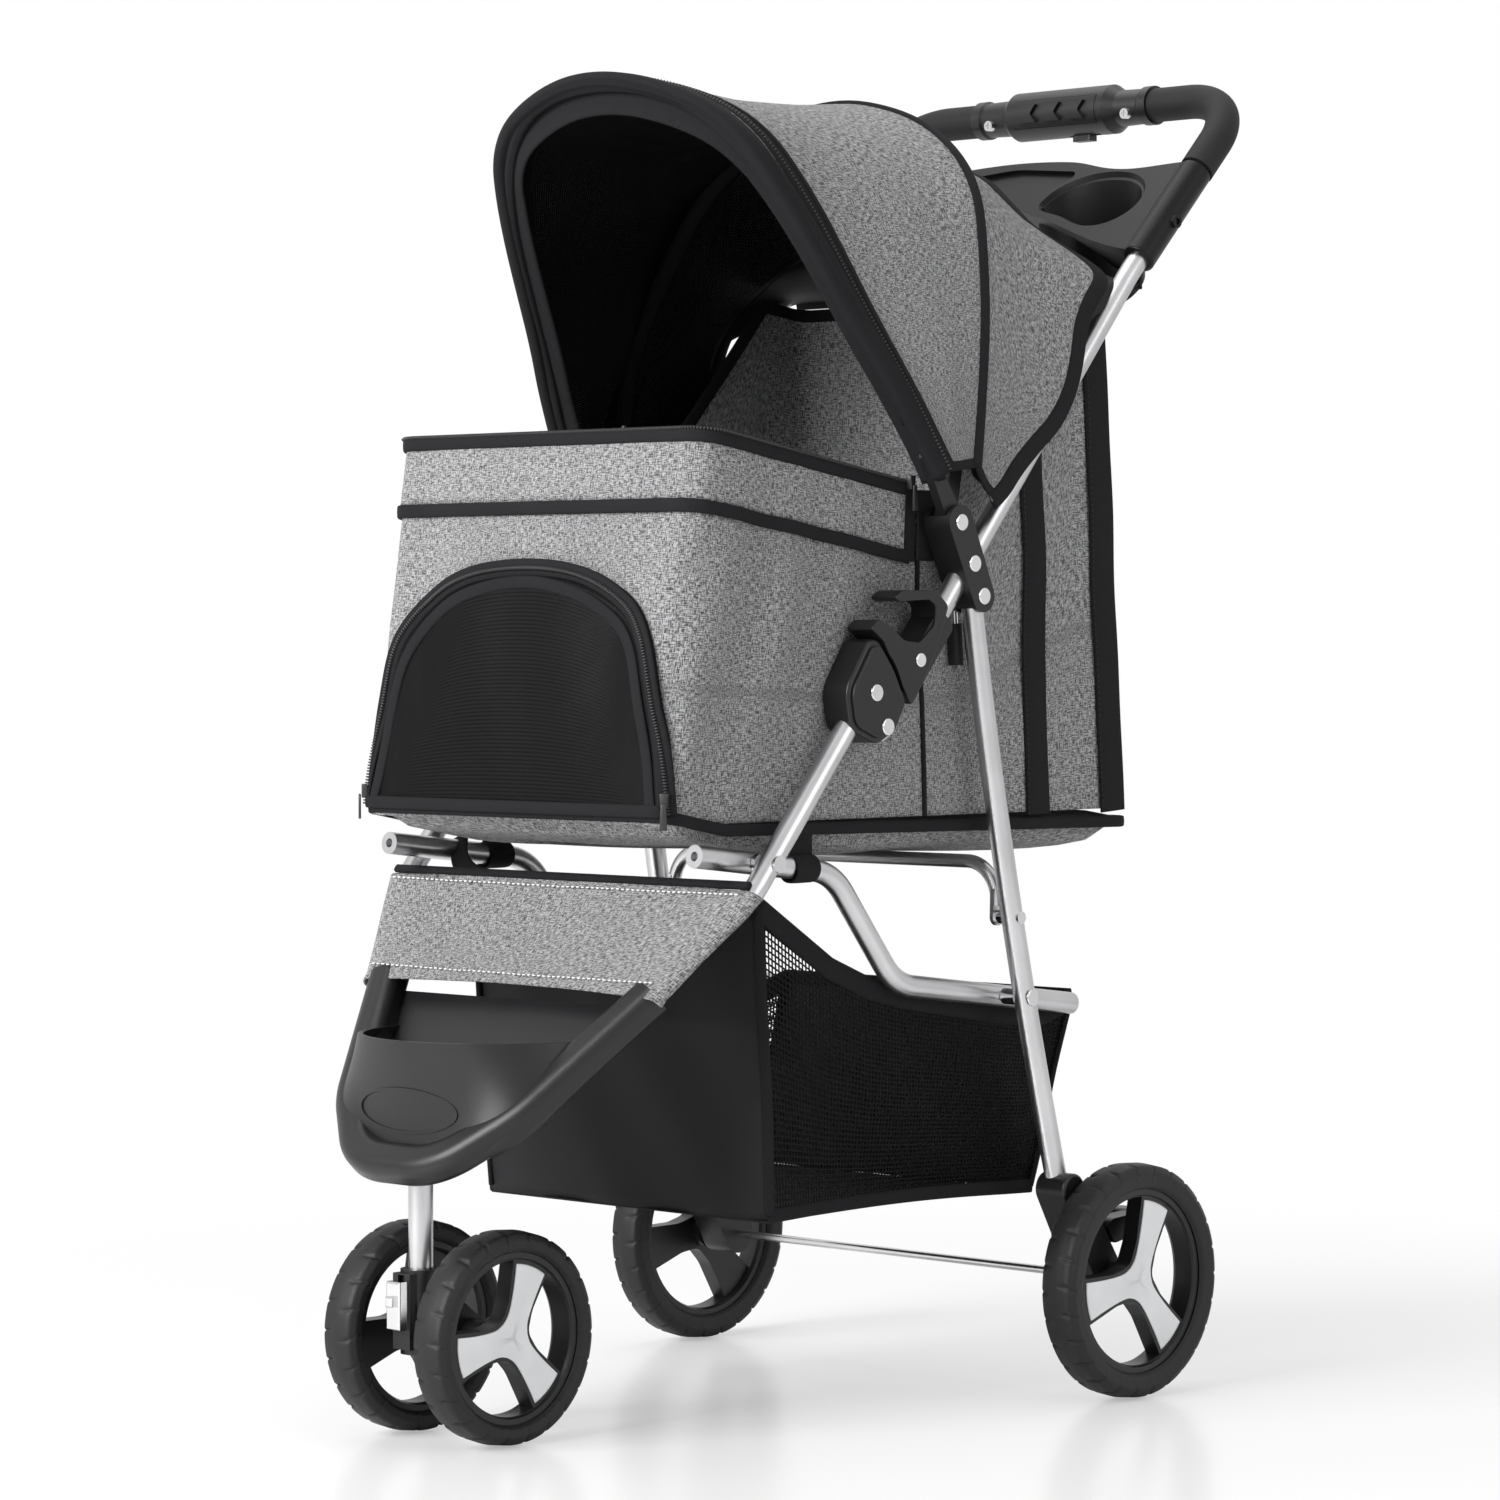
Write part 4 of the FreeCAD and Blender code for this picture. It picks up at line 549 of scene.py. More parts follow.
def tape(name, path, out, width, thick, material=black_tape, body=SEAT, slot=BLACK, closed=False):
    """Tape, piping or webbing: a flat profile carried along a path on the cloth."""
    points = carried(path, out, flat_profile(width, thick), closed)
    n, m = points.shape[:2]
    # ring closed round the profile: the last column joins the first
    r = np.arange(n if closed else n - 1)[:, None]
    c = np.arange(m)[None, :]
    a, b = r * m + c, r * m + (c + 1) % m
    a2, b2 = ((r + 1) % n) * m + c, ((r + 1) % n) * m + (c + 1) % m
    faces = np.stack([a, a2, b2, b], -1).reshape(-1, 4).tolist()
    if not closed:
        faces += [list(range(m)), list(range((n - 1) * m, n * m))[::-1]]
    uv = np.stack(np.broadcast_arrays(running(path)[:, None], np.linspace(0, 2 * width, m)[None, :]), -1)
    return piece(name, points, faces, material, body, uv)


def dashes(name, path, out, pitch, length, width, material=zip_black, body=SEAT, slot=BLACK, lift=0.0):
    """Row of stitches or zip teeth: a small hexagonal bead every pitch along a path."""
    path, out = np.asarray(path, float), np.asarray(out, float)
    run = running(path)
    at = np.arange(pitch / 2, run[-1], pitch)
    place = read_path(at, run, path)
    ahead = unit(read_path(at + pitch / 4, run, path) - read_path(at - pitch / 4, run, path))
    up = square_to(read_path(at, run, out), ahead)
    side = np.cross(up, ahead)
    bead = np.array([(-1, 0, 0), (-0.6, 1, 0), (-0.6, 0, 1), (-0.6, -1, 0), (-0.6, 0, -1),
                     (0.6, 1, 0), (0.6, 0, 1), (0.6, -1, 0), (0.6, 0, -1), (1, 0, 0)], float)
    bead *= [length / 2, width / 2, width / 2]
    quads = np.array([(1, 5, 6, 2), (2, 6, 7, 3), (3, 7, 8, 4), (4, 8, 5, 1)])
    tris = np.array([(0, 1, 2), (0, 2, 3), (0, 3, 4), (0, 4, 1), (9, 6, 5), (9, 7, 6), (9, 8, 7), (9, 5, 8)])
    points = (place + up * lift)[:, None] + bead[None, :, :1] * ahead[:, None] \
        + bead[None, :, 1:2] * side[:, None] + bead[None, :, 2:] * up[:, None]
    base = np.arange(len(at))[:, None, None] * len(bead)
    faces = (base + quads).reshape(-1, 4).tolist() + (base + tris).reshape(-1, 3).tolist()
    return piece(name, points, faces, material, body)


def wall_line(length, z, proud=0.0):
    """Path on the cabin wall with its outward directions."""
    length, z = np.broadcast_arrays(np.asarray(length, float), np.asarray(z, float))
    _, _, nx, ny, _ = cabin_plan(length)
    return cabin_wall(length, z, proud), np.stack([nx, ny, np.zeros_like(nx)], -1)



# ---- cabin bindings, band and zips ----
# A folded band runs round the front and both sides under the rim zip, edged with black
# tape. Piping closes the hem and the side seams, and webbing runs down the rear corners.
BAND_END_Y = -0.012
band_end = float(side_length(BAND_END_Y))
band_lengths = np.linspace(band_end, CABIN_ROUND - band_end, 260)
band_tops = rim_height(cabin_plan(band_lengths)[1]) + 0.001
band_rows = band_tops[None, :] - np.linspace(0.046, 0.0, 10)[:, None]
sheet_piece("cabin_band", cabin_wall(band_lengths[None, :], band_rows, 0.0022), grey_linen, turned=True)
for name, drop_z, width, thick in (("band_binding", 0.050, 0.0095, 0.0034), ("rim_zip_tape", 0.0015, 0.011, 0.0052)):
    tape(name, *wall_line(band_lengths, band_tops - drop_z, 0.0025), width, thick)
dashes("rim_zip_teeth", *wall_line(band_lengths, band_tops + 0.0025, 0.004), 0.0022, 0.0017, 0.0028, lift=0.0012)
for side, sign in SIDES:
    z = rim_height(BAND_END_Y) - np.linspace(0.052, 0.0, 24)
    tape(f"band_end_{side}", *wall_line(side_length(BAND_END_Y, sign), z, 0.0025), 0.010, 0.0036)
    # piping down the side seam, and the nylon patch behind the frame joint
    z = np.linspace(0.612, 0.424, 60)
    seam = side_length(-0.001 + (0.612 - z) * 0.075, sign)
    tape(f"side_seam_{side}", *wall_line(seam, z, 0.0008), 0.0035, 0.003)
    patch = side_length(np.linspace(-0.004, 0.040, 16), sign)
    patch_z = 0.655 - np.linspace(0.05, 0.0, 12)[:, None]
    sheet_piece(f"joint_patch_{side}", cabin_wall(patch[None, :], patch_z, 0.0016), black_nylon, turned=sign > 0)
    # webbing down the side, and the wide tape on the rear edge
    for label, low_y, top_z, width in (("side_webbing", 0.136, 0.752, 0.026), ("rear_edge_tape", 0.2215, 0.801, 0.028)):
        z = np.linspace(top_z, 0.422, 90)
        tape(f"{label}_{side}", *wall_line(side_length(low_y, sign), z, 0.0016), width, 0.0024)
        for edge, shift in (("front", -0.45), ("rear", 0.45)):
            line = wall_line(side_length(low_y + shift * width, sign), z, 0.003)
            dashes(f"{label}_stitch_{edge}_{side}", *line, 0.0042, 0.0026, 0.0006)

rear_end = float(side_length(0.030))
rear_lengths = np.concatenate([np.linspace(CABIN_ROUND - rear_end, CABIN_ROUND, 70, endpoint=False),
                               np.linspace(0.0, rear_end, 71)])
tape("rear_rim_binding", *wall_line(rear_lengths, rim_height(cabin_plan(rear_lengths)[1])), 0.010, 0.0045)

hem_lengths = np.linspace(0, CABIN_ROUND, 300, endpoint=False)
hem_x, hem_y = cabin_plan(hem_lengths)[:2]
hem_z = np.interp(hem_y, [-0.246, -0.19, 0.239], [0.430, 0.4195, 0.414])
tape("hem_piping", *wall_line(hem_lengths, hem_z, 0.001), 0.0085, 0.0048, closed=True)

# ---- cabin base ----
# Padded bottom of the tub: grey cloth over a thin foam board, bulging below the hem
# between the seat rails. The board is dark on its upper side.
BASE_RINGS = 14


def base_skin(side):
    """Pillow half: hem outline scaled by s from 1 to 0, with depth growing as a root of 1 - s."""
    s = np.linspace(1.0, 0.0, BASE_RINGS)[:, None]
    centre_y = (REAR_Y + FRONT_Y) / 2
    depth = (1 - np.clip(s, 0, 1) ** 6) ** 0.5
    low = 0.0215 * depth * (1 + 0.10 * np.sin(23 * hem_y)[None, :] * np.cos(17 * hem_x)[None, :])
    sag = low if side < 0 else -0.006 * depth
    z = hem_z[None, :] * s + 0.4195 * (1 - s) - sag
    return np.stack([hem_x * (0.978 * s), centre_y + (hem_y - centre_y) * (0.985 * s), z], -1)


sheet_piece("cabin_base", base_skin(-1), grey_linen, thick=0.0015, wrap=True)
sheet_piece("cabin_board", base_skin(1) + [0, 0, 0.004], black_nylon, thick=0.0015, wrap=True, turned=True)

# ---- mesh door ----
# Arched door of black open net on the front of the tub, edged with tape and closed by a
# two-slider coil zip. It hangs on its bottom hem.


def net_material(name, cells, bar):
    """Black net, solid where either length, counted in cells per metre, is within bar of a cell's edge."""
    material, tree, bsdf = new_material(name, 0.10)
    bsdf.inputs["Base Color"].default_value = (0.004, 0.004, 0.0045, 1.0)
    lattice = shader_node(tree, "ShaderNodeSeparateXYZ", Vector=tree.nodes.new("ShaderNodeTexCoord").outputs["UV"])
    bars = []
    for socket in lattice.outputs[:2]:
        wave = math_node(tree, "FRACT", math_node(tree, "MULTIPLY", socket, cells))
        wave = math_node(tree, "ABSOLUTE", math_node(tree, "SUBTRACT", wave, 0.5))
        bars.append(math_node(tree, "GREATER_THAN", wave, 0.5 - bar))
    tree.links.new(math_node(tree, "MAXIMUM", bars[0], bars[1]), bsdf.inputs["Alpha"])
    uneven = shader_node(tree, "ShaderNodeTexNoise", Vector=tree.nodes["Texture Coordinate"].outputs["UV"], Scale=60.0)
    gloss = shader_node(tree, "ShaderNodeMapRange", Value=uneven.outputs[0], To_Min=0.4, To_Max=0.7)
    tree.links.new(gloss.outputs[0], bsdf.inputs["Roughness"])
    return material


net = net_material("black_net", 560.0, 0.30)
wide_net = net_material("basket_net", 300.0, 0.15)

door_columns = arch_line(121, 0.004)
door_x, door_top = door_columns[:, 0], door_columns[:, 1]
DOOR_BOTTOM = 0.4315
door_rows = DOOR_BOTTOM + np.linspace(0, 1, 40)[:, None] * (door_top - DOOR_BOTTOM)[None, :]
panel = cabin_wall(front_length(door_x)[None, :], door_rows, 0.0035)
door = sheet_piece("door_net", panel, net, "door", thick=0.0006, turned=True)
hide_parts("mesh_door")


def front_line(points, proud):
    """Path and outward directions on the front wall through points (x, z)."""
    return wall_line(front_length(points[:, 0]), points[:, 1], proud)


outline, inner = arch_line(221), arch_line(221, 0.010)
tape("door_zip_tape", *front_line(outline, 0.0035), 0.013, 0.0028, body="door")
dashes("door_zip_teeth", *front_line(outline, 0.0052), 0.0021, 0.0016, 0.0042, body="door")
tape("door_edge_tape", *front_line(inner, 0.004), 0.009, 0.0022, body="door")
tape("doorway_binding", *front_line(outline, 0.0006), 0.012, 0.0018)
tape("door_hem", *wall_line(front_length(np.linspace(0.148, -0.148, 80)), 0.4335, 0.0045), 0.009, 0.0030)

# ---- canopy ----
# Hood of the same grey cloth over two bent rods, from the front bow back to the handle
# tubes. Its front edge is a padded black sleeve with a zip, and black net lines the inside.
HUB_Y, HUB_Z = 0.016, 0.632
FRONT_ANGLE, MIDDLE_ANGLE = 120.0, 77.0     # planes of the two bows about the hub axis
FRONT_BOW = np.array([(0.190, 0.040), (0.186, 0.060), (0.176, 0.114), (0.163, 0.158), (0.154, 0.201),
                      (0.145, 0.242), (0.134, 0.280), (0.121, 0.311), (0.094, 0.337), (0.045, 0.357), (0.0, 0.363)])
MIDDLE_BOW = np.array([(0.192, 0.040), (0.190, 0.060), (0.180, 0.142), (0.167, 0.196), (0.152, 0.245),
                       (0.120, 0.281), (0.072, 0.308), (0.0, 0.324)])
REAR_HEM = np.array([(0.190, 0.032, 28), (0.190, 0.046, 30), (0.189, 0.065, 35), (0.188, 0.094, 36),
                     (0.187, 0.121, 35.5), (0.185, 0.150, 38), (0.183, 0.177, 42.6), (0.181, 0.198, 46.6),
                     (0.180, 0.220, 47.5), (0.178, 0.247, 47), (0.155, 0.258, 49.3), (0.130, 0.268, 50.9),
                     (0.100, 0.283, 51.7), (0.060, 0.312, 51.9), (0.030, 0.334, 52), (0.0, 0.345, 52)])


def bow_line(half, b):
    """Point list of a half arch read at b, from the left foot at 1 over the crown to the right foot.

    Corner cutting rounds the list, its mirror image follows, and b reads it by running length.
    """
    mirror = half[-2::-1] * np.array([-1.0] + [1.0] * (half.shape[1] - 1))
    line = cut_corners(np.concatenate([half, mirror]), 3)
    run = running(line[:, :2])
    return read_path(-np.asarray(b), 2 * run / run[-1] - 1, line)


def hood_edge(half, b, angle=None):
    """Arch about the hub axis: x stays and the distance turns up by the angle, or by the list's own."""
    read = bow_line(half, b)
    turn = np.radians(read[..., 2] if angle is None else angle)
    return np.stack([read[..., 0], HUB_Y + read[..., 1] * np.cos(turn), HUB_Z + read[..., 1] * np.sin(turn)], -1)


def hood(a, b, proud=0.0):
    """Hood surface: a runs 0 to 1 from front to middle bow and 1 to 2 on to the rear hem.

    Between two bows the cloth is a straight line between their arches. It sags a little at the
    crown, as a sine of the way between the bows, and soft folds run beside the front bow.
    """
    a, b = np.broadcast_arrays(np.asarray(a, float), np.asarray(b, float))
    front, middle = hood_edge(FRONT_BOW, b, FRONT_ANGLE), hood_edge(MIDDLE_BOW, b, MIDDLE_ANGLE)
    rear = hood_edge(REAR_HEM, b)
    part = np.where(a < 1, a, a - 1)[..., None]
    low, high = np.where((a < 1)[..., None], front, middle), np.where((a < 1)[..., None], middle, rear)
    flat = low * (1 - part) + high * part
    away = flat - [0.0, HUB_Y, HUB_Z]
    away[..., 0] *= 0.45
    away = unit(away)
    span = np.linalg.norm(high - low, axis=-1)
    between = np.sin(math.pi * part[..., 0])
    crown = np.cos(np.clip(b, -1, 1) * math.pi / 2) ** 2
    ease = np.where(a < 1, 0.003 - 0.010 * crown, -0.009) * between * span / 0.2
    beside = np.exp(-((np.abs(b) - 0.52) / 0.26) ** 2)
    soft = np.sin(10.5 * a + 3.2 * np.abs(b) + 0.6 * np.sin(5 * b)) * beside * between
    foot = np.exp(-((np.abs(b) - 0.86) / 0.07) ** 2) * np.sin(15 * a + 14 * b) * between
    folds = 0.0019 * np.where(a < 1, soft, 0.45 * soft) + 0.0010 * foot \
        + 0.0008 * np.sin(9 * b + 2.4 * a) * between + 0.0004 * np.sin(29 * b - 11 * a) * between
    return flat + away * (ease + folds + proud)[..., None]


def hood_out(a, b):
    """Outward directions of the hood, from its slopes along a and b."""
    step = 0.004
    slope_a = hood(np.clip(a + step, 0, 2), b) - hood(np.clip(a - step, 0, 2), b)
    slope_b = hood(a, np.clip(b + step, -1, 1)) - hood(a, np.clip(b - step, -1, 1))
    out = unit(np.cross(slope_a, slope_b))
    middle = hood(a, b) - [0.0, HUB_Y, HUB_Z]
    return out * np.sign((out * middle).sum(-1, keepdims=True))


# square to the middle bow's plane; the bend is at 0.4, that bow's share of the turn, where it stands
swing = np.array([0.0, math.cos(math.radians(167)), math.sin(math.radians(167))])
hub = np.array([0.0, HUB_Y, HUB_Z])
a_grid = np.concatenate([np.linspace(0, 1, 27), np.linspace(1, 2, 24)[1:]])[:, None]
b_grid = np.linspace(1, -1, 161)[None, :]
hood_pieces = [sheet_piece("canopy_cloth", hood(a_grid, b_grid), grey_linen, None)]
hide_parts("canopy")
lining = hood(np.linspace(0.03, 1.93, 44)[:, None], np.linspace(0.96, -0.96, 121)[None, :], -0.0125)
hood_pieces.append(sheet_piece("canopy_lining", lining, net, None, thick=0.0005))
b_line = np.linspace(1, -1, 241)
for name, a, width, thick, proud in (("canopy_front_sleeve", 0.0, 0.017, 0.011, -0.003),
                                     ("canopy_front_facing", 0.0, 0.004, 0.026, -0.016),
                                     ("canopy_zip_tape", 0.085, 0.013, 0.0028, 0.0006),
                                     ("canopy_front_piping", 0.125, 0.0040, 0.0040, 0.0012),
                                     ("canopy_middle_piping", 1.0, 0.0085, 0.0055, 0.0008),
                                     ("canopy_rear_binding", 1.985, 0.0140, 0.0040, 0.0006)):
    hood_pieces.append(tape(name, hood(a, b_line, proud), hood_out(a, b_line), width, thick, body=None))
hood_pieces.append(dashes("canopy_zip_teeth", hood(0.085, b_line, 0.0022), hood_out(0.085, b_line),
                          0.0028, 0.0017, 0.0034, body=None))
a_line = np.linspace(0.0, 2.0, 60)
for side, sign in SIDES:
    b = sign * 0.992
    hood_pieces.append(tape(f"canopy_foot_binding_{side}", hood(a_line, b, 0.0006), hood_out(a_line, b),
                            0.007, 0.0030, body=None))
# dark flap of the rear window, from the rear hem's arch down to the tub's rear edge
b_row = np.linspace(0.60, -0.60, 70)
top_row = hood(np.full(70, 1.97), b_row, -0.003)
low_row = np.stack([top_row[:, 0] * 0.97, 0.229 + 0 * b_row, 0.812 + 0 * b_row], -1)
down = np.linspace(0, 1, 24)[:, None, None]
flap = top_row[None] * (1 - down) + low_row[None] * down
flap[..., 1] += 0.0025 * np.sin(9 * down[..., 0]) * np.sin(23 * b_row)[None, :]
sheet_piece("canopy_rear_flap", flap, black_nylon, "handle_frame", thick=0.0008)
tape("canopy_flap_hem", low_row, [[0, 1.0, 0.2]], 0.010, 0.003, body="handle_frame")


def rod_line(name):
    """Centre line of a bent rod in steps of angle across its arch: the mean of each step's vertices."""
    mesh = frame["nodes"][name].data
    at = np.empty(len(mesh.vertices) * 3)
    mesh.vertices.foreach_get("co", at)
    at = at.reshape(-1, 3)
    r = np.hypot(at[:, 1] - HUB_Y, at[:, 2] - HUB_Z)
    turn = np.arctan2(r, at[:, 0])
    edges = np.radians(np.linspace(24, 156, 67))
    step = np.digitize(turn, edges)
    return np.array([at[step == k].mean(0) for k in range(1, 67) if (step == k).any()])


for name, body in (("bow_front", "front_bow"), ("bow_middle", "middle_bow")):
    line = rod_line(name)
    out = line - [0.0, HUB_Y, HUB_Z]
    tape(name + "_sleeve", line, out, 0.0110, 0.0090, body=body)
for item in hood_pieces:
    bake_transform(item, "handle_frame", "front_bow", start=tuple(hub - 0.153 * swing), end=tuple(hub + 0.200 * swing))

# ---- front panel ----
# Grey cloth stretched between the front legs, from the seat rails to the nose, with
# stitched hems top and bottom. Each side is a sleeve round its leg.
lean = math.radians(50.0)
leg_u = np.array([0.0, math.cos(lean), math.sin(lean)])
leg_n = np.array([0.0, -math.sin(lean), math.cos(lean)])
leg_axis = np.array([0.0, -0.061, 0.4887]) + 0.022 * leg_n
SLEEVE, LEG_START = 0.0092, 0.93     # radius of the cloth round a leg, and the s where it starts


def panel_point(s, h, proud=0.0):
    """Panel surface: s from -1 to 1 across, h up the legs in metres of height.

    The half width follows the splayed legs as a straight line in h; the cloth hangs a little
    hollow between them, as 1 - s squared, and wraps round each leg in a quarter turn.
    """
    s, h = np.broadcast_arrays(np.asarray(s, float), np.asarray(h, float))
    half = np.interp(h, [0.306, 0.374], [0.150, 0.187])
    wrap = np.clip((np.abs(s) - LEG_START) / (1 - LEG_START), 0, 1)
    base = leg_axis + leg_u * ((h[..., None] - leg_axis[2]) / leg_u[2])
    inner = np.sin(math.pi * np.clip((h - 0.303) / 0.074, 0, 1))
    hollow = (0.0035 * (1 - s ** 2) + 0.0008 * np.sin(11 * s + 40 * h) * (1 - s ** 2)
              + 0.0004 * np.sin(31 * s - 80 * h)) * inner
    off = SLEEVE * np.cos(wrap * math.pi / 2) + proud
    x = np.sign(s) * (half - SLEEVE + SLEEVE * np.sin(wrap * math.pi / 2)) * np.minimum(np.abs(s) / LEG_START, 1.0)
    return base + leg_n * (off - hollow)[..., None] + np.stack([x, 0 * x, 0 * x], -1)


s_grid = np.linspace(-1, 1, 111)[None, :]
h_low = 0.3055 - 0.004 * np.abs(np.linspace(-1, 1, 111)) ** 2
panel_top = 0.3755 + 0.002 * np.cos(np.linspace(-1, 1, 111) * math.pi)
h_grid = h_low[None, :] + np.linspace(0, 1, 30)[:, None] * (panel_top - h_low)[None, :]
front_cloth = sheet_piece("front_panel_cloth", panel_point(s_grid, h_grid), grey_linen, "front_frame")
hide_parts("front_panel")
s_line = np.linspace(-LEG_START, LEG_START, 150)
for name, h in (("panel_stitch_top", 0.3700), ("panel_stitch_low", 0.3112)):
    dashes(name, panel_point(s_line, h, 0.0016), np.tile(leg_n, (150, 1)), 0.0050, 0.0036, 0.0013,
           thread_pale, "front_frame", GREY)
tape("panel_top_piping", panel_point(s_line, 0.3765, 0.0004), leg_n[None], 0.0060, 0.0042, body="front_frame")

# ---- basket ----
# Open shopping basket under the rails: solid black nylon front and floor, net sides and
# back, bound edges, and an elastic hem that dips between its fixings.
B_HALF = 0.1445
BASKET_TOP_Y = np.array([-0.148, -0.076, -0.035, 0.002, 0.110, 0.150, 0.186])
BASKET_TOP_Z = np.array([0.368, 0.322, 0.3055, 0.2965, 0.279, 0.275, 0.286])


def basket_side(s, h, side):
    """Side wall: s from front to rear edge, h from floor to the dipping hem; it bellies out."""
    s, h = np.broadcast_arrays(np.asarray(s, float), np.asarray(h, float))
    top_y = -0.148 + s * 0.334
    top = np.stack([0 * s, top_y, np.interp(top_y, BASKET_TOP_Y, BASKET_TOP_Z)], -1)
    low = np.stack([0 * s, -0.132 + s * 0.276, 0.146 + 0.004 * np.sin(math.pi * s)], -1)
    point = low * (1 - h[..., None]) + top * h[..., None]
    belly = 0.004 * np.sin(math.pi * h) * np.sin(math.pi * s) - 0.004 * (1 - h)
    belly += 0.0015 * np.sin(14 * s + 5 * h) * np.sin(math.pi * h)
    point[..., 0] = side * (B_HALF + belly)
    return point


def basket_end(s, h, rear):
    """Front or rear wall: s across from right to left, h from floor to hem, slack in the middle."""
    s, h = np.broadcast_arrays(np.asarray(s, float), np.asarray(h, float))
    corner = basket_side(np.full(s.shape, 1.0 if rear else 0.0), h, 1)
    slack = 0.004 * np.sin(math.pi * s) * np.sin(math.pi * np.clip(h, 0, 1)) + 0.0012 * np.sin(17 * s + 8 * h)
    point = corner.copy()
    point[..., 0] = (2 * s - 1) * corner[..., 0]
    point[..., 1] += (1 if rear else -1) * slack
    point[..., 2] -= 0.012 * np.sin(math.pi * s) * h * (0.0 if rear else 0.5)
    return point


across, up = np.linspace(0, 1, 60)[None, :], np.linspace(0, 1, 36)[:, None]
basket_front = sheet_piece("basket_front", basket_end(across, up, False), black_nylon)
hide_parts("basket")
sheet_piece("basket_back", basket_end(across, up, True), black_nylon, turned=True)
s_line, h_line = np.linspace(0, 1, 90), np.linspace(0.02, 0.99, 60)
for side, sign in SIDES:
    sheet_piece(f"basket_net_{side}", basket_side(across, up, sign), wide_net, thick=0.0006, turned=sign < 0)
    tape(f"basket_hem_{side}", basket_side(s_line, 0.985, sign), [[sign, 0, 0]], 0.016, 0.004)
    tape(f"basket_floor_edge_{side}", basket_side(s_line, 0.02, sign), [[sign, 0, 0]], 0.010, 0.004)
    for name, s, lead in (("front", 0.0, -0.7), ("rear", 1.0, 0.7)):
        tape(f"basket_{name}_corner_{side}", basket_side(s, h_line, sign), [[sign * 0.7, lead, 0]], 0.008, 0.004)
floor_x = (np.linspace(-1, 1, 40) * (B_HALF - 0.004))[None, :]
floor_s = np.linspace(0, 1, 40)[:, None]
floor_grid = basket_side(floor_s + 0 * floor_x, 0.0, 1)
floor_grid[..., 0] = floor_x
floor_grid[..., 2] -= 0.004 * np.sin(math.pi * floor_s) * np.cos(floor_x / B_HALF * math.pi / 2)
sheet_piece("basket_floor", floor_grid, black_nylon)
s_line = np.linspace(0, 1, 70)
for name, rear in (("basket_front_hem", False), ("basket_back_hem", True)):
    tape(name, basket_end(s_line, 0.985, rear), [[0, 1 if rear else -1, 0]], 0.016, 0.004)

# ---- webbing loops ----
# Black webbing sewn to the cabin's hem, passed round the seat rails and stitched to itself.
LOOP_Y, LOOP_RADIUS = -0.116, 0.0092
LOOP_Z = 0.4025 - 0.1135 * (LOOP_Y + 0.217)     # height of the sloping rail there
turn = np.linspace(-0.45 * math.pi, 1.42 * math.pi, 44)
for side, sign in SIDES:
    ring = np.stack([sign * (0.154 - LOOP_RADIUS * np.cos(turn)), np.full(44, LOOP_Y),
                     LOOP_Z - LOOP_RADIUS * np.sin(turn)], -1)
    rise = np.linspace(LOOP_Z + 0.008, 0.4175, 14)[::-1]
    tail = np.stack([np.full(14, sign * 0.1545), np.full(14, LOOP_Y), rise], -1)
    out_ring = np.stack([-sign * np.cos(turn), 0 * turn, -np.sin(turn)], -1)
    out = np.concatenate([np.tile([sign, 0, 0], (14, 1)), out_ring])
    tape(f"webbing_loop_front_{side}", np.concatenate([tail, ring]), out, 0.024, 0.0018)
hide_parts("seat_straps")
# webbing from the right rail down to the basket's front hem and along it
strap = np.array([(-0.1535, -0.150, 0.4055), (-0.147, -0.158, 0.3995), (-0.136, -0.168, 0.3890),
                  (-0.118, -0.174, 0.3795), (-0.085, -0.174, 0.3765), (-0.030, -0.173, 0.3760),
                  (0.030, -0.172, 0.3750), (0.090, -0.170, 0.3735), (0.140, -0.160, 0.3700)])
tape("basket_front_strap", cut_corners(strap, 3), [[0.0, -0.8, 0.6]], 0.015, 0.0026)

# ---- zip pullers and stay rods ----
# Moulded zip pullers hang at the ends of the door's and the rim's zips. A short plated stay
# with a rubber cap hangs behind each handle bracket.


def puller(name, place, out, body):
    """Zip puller: a tapered slider block on the tape and a flat tab that hangs straight down."""
    down = np.array([0.0, 0.0, -1.0])
    side = np.cross(out, down)
    block = np.array([(a * (0.0040 if v < 0 else 0.0028), v, w) for v in (-0.005, 0.005) for a, w in
                      ((-1, 0.0), (1, 0.0), (0.7, 0.0042), (-0.7, 0.0042))])
    tab = np.array([(a * (0.0018 if v < 0.010 else 0.0027), v, w) for v in (0.002, 0.020) for a, w in
                    ((-1, 0.0048), (1, 0.0048), (1, 0.0064), (-1, 0.0064))])
    corners = np.concatenate([block, tab])
    points = place + corners[:, :1] * side + corners[:, 1:2] * down + corners[:, 2:] * out
    quads = np.array([(0, 3, 2, 1), (4, 5, 6, 7), (0, 1, 5, 4), (1, 2, 6, 5), (2, 3, 7, 6), (3, 0, 4, 7)])
    item = piece(name, points, np.concatenate([quads, quads + 8]).tolist(), zip_black, body)
    rounded = item.modifiers.new("rounding", "BEVEL")
    rounded.width, rounded.segments = 0.0006, 2


for side, sign in SIDES:
    puller(f"door_puller_{side}", *wall_line(front_length(sign * SILL_HALF), 0.441, 0.0050), "door")
    puller(f"rim_puller_{side}", *wall_line(side_length(-0.018, sign), 0.660, 0.0060), SEAT)
    stay = np.array([(sign * 0.160, 0.036 + 0.004 * t, 0.596 - 0.065 * t) for t in np.linspace(0, 1, 12)])
    tape(f"stay_rod_{side}", stay[:9], [[sign, 0, 0]], 0.0050, 0.0050, bright_steel, "handle_frame", "rivet_steel")
    tape(f"stay_cap_{side}", stay[6:], [[sign, 0, 0]], 0.0095, 0.0095, soft_black, "handle_frame", BLACK)

